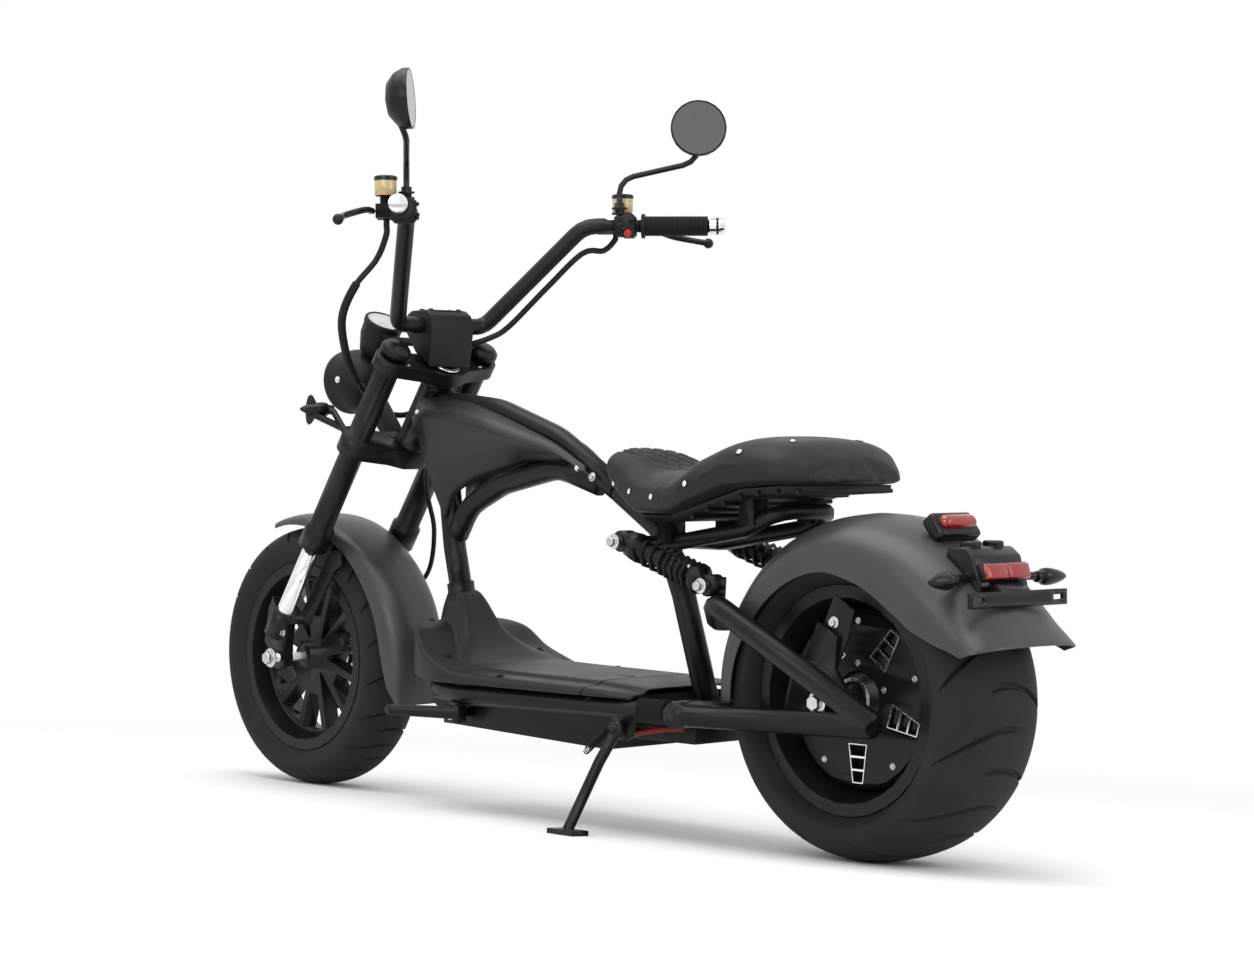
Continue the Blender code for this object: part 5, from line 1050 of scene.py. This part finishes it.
def make_tail():
    """Tail lamp, plate bracket with its slotted bar, reflector and rear turn signals."""
    slope = Matrix.Rotation(math.radians(-52), 4, "Y")
    bm = bmesh.new()
    block(bm, (0.042, 0.086, 0.026), Matrix.Translation((-0.1325, 0, 0.4865)) @ slope, 0.007, 4)
    finish_piece(bm, "tail_lamp_base", "gloss_black", "chassis", ("tail_lamp",))
    bm = bmesh.new()
    block(bm, (0.021, 0.070, 0.022), Matrix.Translation((-0.1425, 0, 0.4945)) @ slope, 0.0095, 6)
    finish_piece(bm, "tail_lamp_lens", "red_lens", "chassis")

    bm = bmesh.new()
    prism(bm, [(-0.168, 0.4620), (-0.200, 0.4620), (-0.216, 0.450), (-0.230, 0.408),
               (-0.222, 0.392), (-0.186, 0.398), (-0.160, 0.430)], -0.052, 0.052, 0.004, 3)
    for s in (1, -1):
        block(bm, (0.030, 0.016, 0.012), Matrix.Translation((-0.188, s * 0.024, 0.4640)),
              0.004, 3)
    prism(bm, [(-0.224, 0.420), (-0.249, 0.404), (-0.249, 0.380), (-0.234, 0.371),
               (-0.212, 0.395)], -0.030, 0.030, 0.0015, 2)
    for s in (1, -1):
        tube_along(bm, [(-0.204, s * 0.045, 0.420), (-0.214, s * 0.100, 0.418)], 0.0060, 14)
        turned_shape(bm, [(0, 0.004), (0.0080, 0.004), (0.0086, 0.0), (0.0080, -0.006),
                          (0, -0.006)], facing((-0.2135, s * 0.094, 0.4175), (-0.10, s, 0)), 20)
    finish_piece(bm, "plate_bracket_casting", "gloss_black", "chassis", ("plate_bracket",))
    bm = bmesh.new()
    for s in (1, -1):
        turned_shape(bm, LEAF, facing((-0.2140, s * 0.0930, 0.4172), (-0.08, s, 0)), 28)
    finish_piece(bm, "rear_indicators", "gloss_black", "chassis")
    bm = bmesh.new()
    made = bmesh.ops.create_grid(bm, x_segments=16, y_segments=4, size=0.5)
    stops = (-0.104, -0.096, -0.074, -0.066, -0.058, -0.040, -0.026, -0.012, 0.0, 0.012, 0.026,
             0.040, 0.058, 0.066, 0.074, 0.096, 0.104)
    heights = (0.380, 0.3875, 0.391, 0.3945, 0.402)
    for vert in made["verts"]:
        vert.co = (-0.256, stops[round((vert.co.x + 0.5) * 16)],
                   heights[round((vert.co.y + 0.5) * 4)])
    bmesh.ops.delete(bm, geom=[f for f in bm.faces if 0.074 < abs(f.calc_center_median().y) < 0.096
                               and 0.3875 < f.calc_center_median().z < 0.3945], context="FACES")
    face_away(bm, (0, 0, 0.391))
    bar = finish_piece(bm, "plate_bar", "gloss_black", "chassis")
    add_wall(bar, 0.0060)

    tilt = Matrix.Rotation(math.radians(17), 4, "Y")
    bm = bmesh.new()
    for s in (1, -1):
        block(bm, (0.0130, 0.0470, 0.0220), Matrix.Translation((-0.2305, s * 0.0240, 0.4280))
              @ tilt, 0.0035, 3)
    finish_piece(bm, "rear_reflector", "red_lens", "chassis")
    bm = bmesh.new()
    block(bm, (0.0110, 0.1000, 0.0260), Matrix.Translation((-0.2270, 0, 0.4275)) @ tilt, 0.004, 3)
    finish_piece(bm, "reflector_frame", "gloss_black", "chassis")


# Saddle

# x, top z, underside z, half width
SADDLE = ((0.034, 0.560, 0.548, 0.060), (0.055, 0.580, 0.545, 0.105), (0.100, 0.606, 0.545, 0.138),
          (0.170, 0.612, 0.540, 0.150), (0.250, 0.590, 0.518, 0.150), (0.330, 0.560, 0.498, 0.140),
          (0.400, 0.562, 0.498, 0.122), (0.460, 0.590, 0.520, 0.098), (0.510, 0.602, 0.548, 0.072),
          (0.548, 0.592, 0.566, 0.030))


def saddle_point(share, turn):
    """A point of the saddle's skin: share from rear to front, turn about its length."""
    x = SADDLE[0][0] + (SADDLE[-1][0] - SADDLE[0][0]) * share
    top, under, half = read_table(SADDLE, x)
    c, s = math.cos(turn), math.sin(turn)
    widest = under + (top - under) * 0.34
    power = 2 / 2.6 if s >= 0 else 2 / 4.5
    reach = (top - widest) if s >= 0 else (widest - under)
    return Vector((x, math.copysign(half * abs(c) ** power, c),
                   widest + math.copysign(reach * abs(s) ** power, s)))


QUILT = (0.452, 0.088, 0.050)          # centre x, half length, half width of the quilted oval


def sink_seams(point, normal):
    """How far a point of the saddle sinks into the oval's seam and its diamond quilting."""
    if normal.z < 0.2:
        return 0.0
    centre, length, width = QUILT
    out = math.hypot((point.x - centre) / length, point.y / width)
    rim = abs(out - 1) * width
    deep = 0.0030 * math.exp(-(rim / 0.0030) ** 2)
    if out < 0.97:
        pitch = 0.030
        for way in (1, -1):
            line = (point.x - centre + way * point.y * 1.15) / pitch
            gap = abs(line - round(line)) * pitch * 0.66
            deep = max(deep, 0.0024 * math.exp(-(gap / 0.0022) ** 2))
        deep -= 0.0012
    return deep


def make_saddle():
    """The stuffed saddle: a lofted shell, remeshed, swollen a little as cloth, then sewn."""
    bm = bmesh.new()
    bmesh.ops.create_uvsphere(bm, u_segments=72, v_segments=48, radius=1.0)
    for vert in bm.verts:
        share = 0.5 - 0.5 * vert.co.z
        turn = math.atan2(vert.co.y, vert.co.x)
        pole = min(1.0, math.hypot(vert.co.x, vert.co.y) * 3.2)
        rim = saddle_point(share, turn)
        middle = saddle_point(share, math.pi / 2).lerp(saddle_point(share, -math.pi / 2), 0.5)
        vert.co = middle.lerp(rim, pole)
    bmesh.ops.recalc_face_normals(bm, faces=bm.faces)
    bm.transform(UPRIGHT)
    saddle = object_from(bm, "saddle")
    remesh = saddle.modifiers.new("remesh", "REMESH")
    remesh.mode = "VOXEL"
    remesh.voxel_size = 0.0050
    apply_all(saddle)
    start = [v.co.copy() for v in saddle.data.vertices]
    swell_as_cloth(saddle)
    level_turn = LEVEL.to_3x3()
    most = 0.005
    for vert, first in zip(saddle.data.vertices, start):
        move = vert.co - first
        move *= min(1.0, max(0.0, (level_turn @ vert.normal).z * 1.6 + 0.35))
        if move.length > most:
            move *= most / move.length
        vert.co = first + move
    relax = saddle.modifiers.new("relax", "SMOOTH")
    relax.factor, relax.iterations = 0.5, 6
    finer = saddle.modifiers.new("finer", "SUBSURF")
    finer.levels = finer.render_levels = 1
    apply_all(saddle)
    normals = [v.normal.copy() for v in saddle.data.vertices]
    for vert, normal in zip(saddle.data.vertices, normals):
        vert.co -= normal * sink_seams(LEVEL @ vert.co, level_turn @ normal)
    saddle.data.materials.clear()
    saddle.data.materials.append(FINISHES["black_leather"])
    saddle.data.polygons.foreach_set("use_smooth", [True] * len(saddle.data.polygons))
    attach(saddle, "chassis")
    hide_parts("seat")
    stud_saddle(saddle)
    rib_saddle_pan()


def apply_all(piece):
    """Bakes a piece's modifiers into its mesh."""
    bpy.context.view_layer.update()
    baked = bpy.data.meshes.new_from_object(
        piece.evaluated_get(bpy.context.evaluated_depsgraph_get()))
    piece.modifiers.clear()
    piece.data = baked


def swell_as_cloth(piece):
    """Lets air pressure push the piece out, without gravity, over a few frames."""
    frames = 20
    cloth = piece.modifiers.new("stuffing", "CLOTH")
    cloth.settings.use_pressure = True
    cloth.settings.uniform_pressure_force = 4.0
    cloth.settings.effector_weights.gravity = 0.0
    cloth.settings.quality = 5
    cloth.point_cache.frame_start, cloth.point_cache.frame_end = 1, frames
    scene = bpy.context.scene
    for step in range(1, frames + 1):
        scene.frame_set(step)
    apply_all(piece)
    scene.frame_set(1)


def stud_saddle(saddle):
    """Chrome studs in dark collars along the sides of the saddle."""
    studs, collars = bmesh.new(), bmesh.new()
    for x, y, z in ((0.566, 0.028, 0.573), (0.531, 0.052, 0.562), (0.474, 0.078, 0.546),
                    (0.417, 0.098, 0.531), (0.345, 0.116, 0.524), (0.261, 0.127, 0.545),
                    (0.160, 0.122, 0.583), (0.112, 0.070, 0.596)):
        for side in (1, -1):
            near = UPRIGHT @ Vector((x, side * y, z))
            _, spot, normal, _ = saddle.closest_point_on_mesh(near)
            place = facing(spot - normal * 0.0012, normal)
            turned_shape(collars, [(0.0042, 0.0), (0.0068, 0.0), (0.0070, 0.0014),
                                   (0.0056, 0.0024), (0.0042, 0.0020)], place, 20)
            turned_shape(studs, [(0.0, 0.0040), (0.0026, 0.0036), (0.0044, 0.0020),
                                 (0.0046, 0.0), (0.0, 0.0)], place, 20)
    finish_piece(studs, "saddle_studs", "chrome", "chassis", upright=False)
    finish_piece(collars, "saddle_stud_collars", "gloss_black", "chassis", upright=False)


def rib_saddle_pan():
    """Ribs across the black pan, where it shows under the wide rear of the saddle."""
    bm = bmesh.new()
    for step in range(7):
        x = 0.085 + step * 0.034
        _, under, half = read_table(SADDLE, x)
        wide = half * 0.78
        path = [Vector((x - 0.012 * (abs(k) / 6) ** 2, wide * k / 6,
                        under - 0.0108 + 0.0015 * (k / 6) ** 4)) for k in range(-6, 7)]
        tube_along(bm, path, 0.0034, 10)
    finish_piece(bm, "saddle_pan_ribs", "black_plastic", "chassis")


# Frame fastenings

def make_fastenings():
    """Bolts on the yokes, shock ends, footpegs, stand and frame, and the stand's spring."""
    # The upper clamp's first pair is grouped with the frame's bolts and rides on the chassis.
    bolt_group("frame_bolts", "alloy", "chassis", [row for s in (1, -1) for row in (
        (on_leg(0.022, s * 0.078, -0.0255), -FORK_FORE, 0.0042, 0.004, False),
        (Vector((0.424, s * 0.1360, 0.457)), (0, s, 0), 0.0080, 0.009, True),
        (Vector((0.236, s * 0.1360, 0.396)), (0, s, 0), 0.0080, 0.009, True),
        (Vector((0.812, s * 0.1390, 0.168)), (0, s, 0), 0.0065, 0.005, True),
        (Vector((0.590, s * 0.030, 0.553)), (0, s, 0.2), 0.0050, 0.004, False))])
    bolt_group("yoke_bolts", "alloy", "steering",
               [(on_leg(down, s * y, fore), -FORK_FORE, radius, 0.004, False) for s in (1, -1)
                for down, y, fore, radius in ((0.038, 0.078, -0.0255, 0.0042),
                                              (0.186, 0.080, -0.0265, 0.0045),
                                              (0.204, 0.080, -0.0265, 0.0045))])
    bm = bmesh.new()
    for s in (1, -1):
        turned_shape(bm, [(0, 0.0080), (0.0150, 0.0080), (0.0172, 0.0066), (0.0172, 0.0030),
                          (0.0200, 0.0025), (0.0212, 0.0), (0.0, 0.0)],
                     facing(on_leg(0.0, s * LEG_Y), FORK_UP), 40)
    finish_piece(bm, "fork_caps", "black_alloy", "steering")
    turns, sides, coil_radius = 12, 12, 0.0060
    coil = []
    for step in range(turns * sides + 1):
        turn, share = math.tau * step / sides, step / (turns * sides)
        coil.append(Vector((0.418 + 0.042 * share, 0.1600 + coil_radius * math.cos(turn),
                            0.168 - 0.030 * share + coil_radius * math.sin(turn))))
    tube_piece("stand_spring", "satin_black", "chassis", coil, 0.0010, 8)
    bm = bmesh.new()
    for step in range(9):
        place = facing((0.318 + step * 0.0065, 0.1270, 0.2050), (1, 0, 0))
        turned_shape(bm, [(0.0120, -0.0032), (0.0165, -0.0012), (0.0165, 0.0012),
                          (0.0120, 0.0032)], place, 28)
    finish_piece(bm, "pivot_bush", "grip_rubber", "chassis")
    loom = smooth_path([(0.452, 0.060, 0.166), (0.430, 0.090, 0.160), (0.395, 0.106, 0.166),
                        (0.350, 0.104, 0.174), (0.315, 0.092, 0.176)], 0.008)
    tube_piece("motor_loom", "loom_red", "chassis", loom, 0.0046)


# Stage and camera

def make_stage(sizes):
    """A white floor that fades into a white room, three softboxes and the photo's camera."""
    scene = bpy.context.scene
    bm = bmesh.new()
    bmesh.ops.create_circle(bm, cap_ends=True, segments=96, radius=16.0)
    floor = object_from(bm, "studio_floor")
    tree, shader = new_finish("floor_paper", **{
        "Base Color": (0.90, 0.90, 0.90, 1), "Roughness": 0.7, "Specular IOR Level": 0.2})
    away = shader_node(tree, "ShaderNodeVectorMath", own_place(tree), operation="LENGTH")
    fade = shader_node(tree, "ShaderNodeMapRange", interpolation_type="SMOOTHSTEP",
                       Value=away.outputs["Value"], From_Min=0.8, From_Max=3.0)
    path = shader_node(tree, "ShaderNodeLightPath")
    seen = shader_node(tree, "ShaderNodeMath", fade.outputs["Result"],
                       path.outputs["Is Camera Ray"], operation="MULTIPLY")
    glow = shader_node(tree, "ShaderNodeEmission", Color=(1, 1, 1, 1), Strength=1.0)
    mix = shader_node(tree, "ShaderNodeMixShader", seen.outputs["Value"],
                      shader.outputs["BSDF"], glow.outputs["Emission"])
    tree.links.new(mix.outputs["Shader"], tree.nodes["Material Output"].inputs["Surface"])
    floor.data.materials.append(FINISHES["floor_paper"])

    scene.world = bpy.data.worlds.new("studio")
    scene.world.use_nodes = True
    tree = scene.world.node_tree
    tree.nodes.clear()
    path = shader_node(tree, "ShaderNodeLightPath")
    seen = shader_node(tree, "ShaderNodeMath", path.outputs["Is Camera Ray"],
                       path.outputs["Is Transmission Ray"], operation="MAXIMUM")
    clear = shader_node(tree, "ShaderNodeMath", seen.outputs["Value"],
                        path.outputs["Is Glossy Ray"], operation="MAXIMUM")
    room, white = (shader_node(tree, "ShaderNodeBackground", Color=(1, 1, 1, 1), Strength=level)
                   for level in (sizes.room_light, 1.0))
    mix = shader_node(tree, "ShaderNodeMixShader", clear.outputs["Value"],
                      room.outputs["Background"], white.outputs["Background"])
    shader_node(tree, "ShaderNodeOutputWorld", Surface=mix.outputs["Shader"])

    aim = Vector((0, 0, 0.5))
    for name, place, size, power in (
            ("top_softbox", (0.0, 0.6, 2.9), (3.2, 2.0), sizes.top_power),
            ("side_softbox", (-1.4, 3.2, 1.7), (2.4, 1.6), sizes.side_power),
            ("rear_softbox", (-3.2, -0.9, 1.6), (1.6, 1.8), sizes.rear_power)):
        light = bpy.data.lights.new(name, "AREA")
        light.shape = "RECTANGLE"
        light.size, light.size_y = size
        light.energy = power
        add_object(name, light).matrix_world = facing(place, Vector(place) - aim)

    camera = bpy.data.cameras.new("photo_camera")
    camera.sensor_width = 36.0
    camera.lens = sizes.camera_lens
    camera.clip_end = 60.0
    scene.camera = add_object("photo_camera", camera)
    stood, seen_at = Vector((-2.854, 3.166, 0.605)), Vector((0.5412, 0, 0.5483))
    scene.camera.matrix_world = UPRIGHT @ facing(stood, stood - seen_at)
    scene.view_settings.view_transform = "Standard"


# Settings, operators and panel

class SCOOTER_PG_sizes(bpy.types.PropertyGroup):
    frame_black: FloatProperty(
        name="Frame black", description="Level of the black paint", default=0.0055, min=0, max=1)
    paint_grey: FloatProperty(
        name="Paint grey", description="Level of the grey body paint", default=0.060, min=0,
        max=1)
    room_light: FloatProperty(
        name="Room light", description="Strength of the even light of the room", default=0.72,
        min=0)
    top_power: FloatProperty(
        name="Top light", description="Power of the overhead softbox", default=60.0, min=0,
        unit="POWER")
    side_power: FloatProperty(
        name="Side light", description="Power of the softbox on the left", default=38.0, min=0,
        unit="POWER")
    rear_power: FloatProperty(
        name="Rear light", description="Power of the softbox behind", default=24.0, min=0,
        unit="POWER")
    camera_lens: FloatProperty(
        name="Lens", description="Focal length of the camera", default=84.25, min=1,
        unit="CAMERA")


class SCOOTER_OT_finishes(bpy.types.Operator):
    """Make the finishes and give every part of the frame its own"""
    bl_idname = "scooter.finishes"
    bl_label = "Finishes"

    def execute(self, context):
        make_finishes(context.scene.scooter_sizes)
        for node, part in frame["nodes"].items():
            part.data.materials.clear()
            part.data.materials.append(FINISHES[finish_of(node)])
        return {"FINISHED"}


class SCOOTER_OT_frame_skins(bpy.types.Operator):
    """Smooth the tubes and castings, and chrome the fork's sliders"""
    bl_idname = "scooter.frame_skins"
    bl_label = "Frame and castings"

    def execute(self, context):
        make_frame_skins()
        make_fork_sliders()
        return {"FINISHED"}


class SCOOTER_OT_tyres(bpy.types.Operator):
    """Make both tyres with their swept tread"""
    bl_idname = "scooter.tyres"
    bl_label = "Tyres"

    def execute(self, context):
        make_tyres()
        return {"FINISHED"}


class SCOOTER_OT_wheels(bpy.types.Operator):
    """Make the motor cover's outlines, the drilled discs and the axle nuts"""
    bl_idname = "scooter.wheels"
    bl_label = "Wheel details"

    def execute(self, context):
        make_wheel_details()
        return {"FINISHED"}


class SCOOTER_OT_mudguards(bpy.types.Operator):
    """Make both mudguards and the rear one's brackets"""
    bl_idname = "scooter.mudguards"
    bl_label = "Mudguards"

    def execute(self, context):
        make_mudguards()
        return {"FINISHED"}


class SCOOTER_OT_covers(bpy.types.Operator):
    """Make the tank covers, the foot deck and its lid"""
    bl_idname = "scooter.covers"
    bl_label = "Covers and deck"

    def execute(self, context):
        make_tank_covers()
        make_deck()
        return {"FINISHED"}


class SCOOTER_OT_head(bpy.types.Operator):
    """Make the headlight, the gauge, the bar clamp and the front turn signals"""
    bl_idname = "scooter.head"
    bl_label = "Head"

    def execute(self, context):
        make_headlight()
        make_gauge()
        make_riser()
        make_indicators()
        return {"FINISHED"}


class SCOOTER_OT_controls(bpy.types.Operator):
    """Make the grips, the brake fluid pots, the mirrors' glass and the hoses"""
    bl_idname = "scooter.controls"
    bl_label = "Controls and hoses"

    def execute(self, context):
        make_controls()
        make_hoses()
        return {"FINISHED"}


class SCOOTER_OT_tail(bpy.types.Operator):
    """Make the tail lamp, the plate bracket, the reflector and the rear turn signals"""
    bl_idname = "scooter.tail"
    bl_label = "Tail"

    def execute(self, context):
        make_tail()
        return {"FINISHED"}


class SCOOTER_OT_saddle(bpy.types.Operator):
    """Make the stuffed saddle with its quilting, studs and pan"""
    bl_idname = "scooter.saddle"
    bl_label = "Saddle"

    def execute(self, context):
        make_saddle()
        return {"FINISHED"}


class SCOOTER_OT_fastenings(bpy.types.Operator):
    """Make the bolts, the stand's spring, the pivot bush and the motor's loom"""
    bl_idname = "scooter.fastenings"
    bl_label = "Fastenings"

    def execute(self, context):
        make_fastenings()
        return {"FINISHED"}


class SCOOTER_OT_stage(bpy.types.Operator):
    """Make the floor, the studio light and the camera"""
    bl_idname = "scooter.stage"
    bl_label = "Stage"

    def execute(self, context):
        make_stage(context.scene.scooter_sizes)
        return {"FINISHED"}


STEPS = (SCOOTER_OT_finishes, SCOOTER_OT_frame_skins, SCOOTER_OT_tyres,
         SCOOTER_OT_wheels, SCOOTER_OT_mudguards, SCOOTER_OT_covers,
         SCOOTER_OT_head, SCOOTER_OT_controls, SCOOTER_OT_tail,
         SCOOTER_OT_saddle, SCOOTER_OT_fastenings, SCOOTER_OT_stage)


class SCOOTER_PT_panel(bpy.types.Panel):
    """Lists the steps that dress the scooter"""
    bl_idname = "SCOOTER_PT_panel"
    bl_label = "Chopper Scooter"
    bl_space_type = "VIEW_3D"
    bl_region_type = "UI"
    bl_category = "Scooter"

    def draw(self, context):
        for step in STEPS:
            self.layout.operator(step.bl_idname)
        for name in SCOOTER_PG_sizes.__annotations__:
            self.layout.prop(context.scene.scooter_sizes, name)


CLASSES = (SCOOTER_PG_sizes, *STEPS, SCOOTER_PT_panel)


def register():
    for part in CLASSES:
        bpy.utils.register_class(part)
    bpy.types.Scene.scooter_sizes = PointerProperty(type=SCOOTER_PG_sizes)


def unregister():
    del bpy.types.Scene.scooter_sizes
    for part in reversed(CLASSES):
        bpy.utils.unregister_class(part)


def main():
    register()
    for step in STEPS:
        group, name = step.bl_idname.split(".")
        getattr(getattr(bpy.ops, group), name)()


if __name__ == "__main__":
    main()
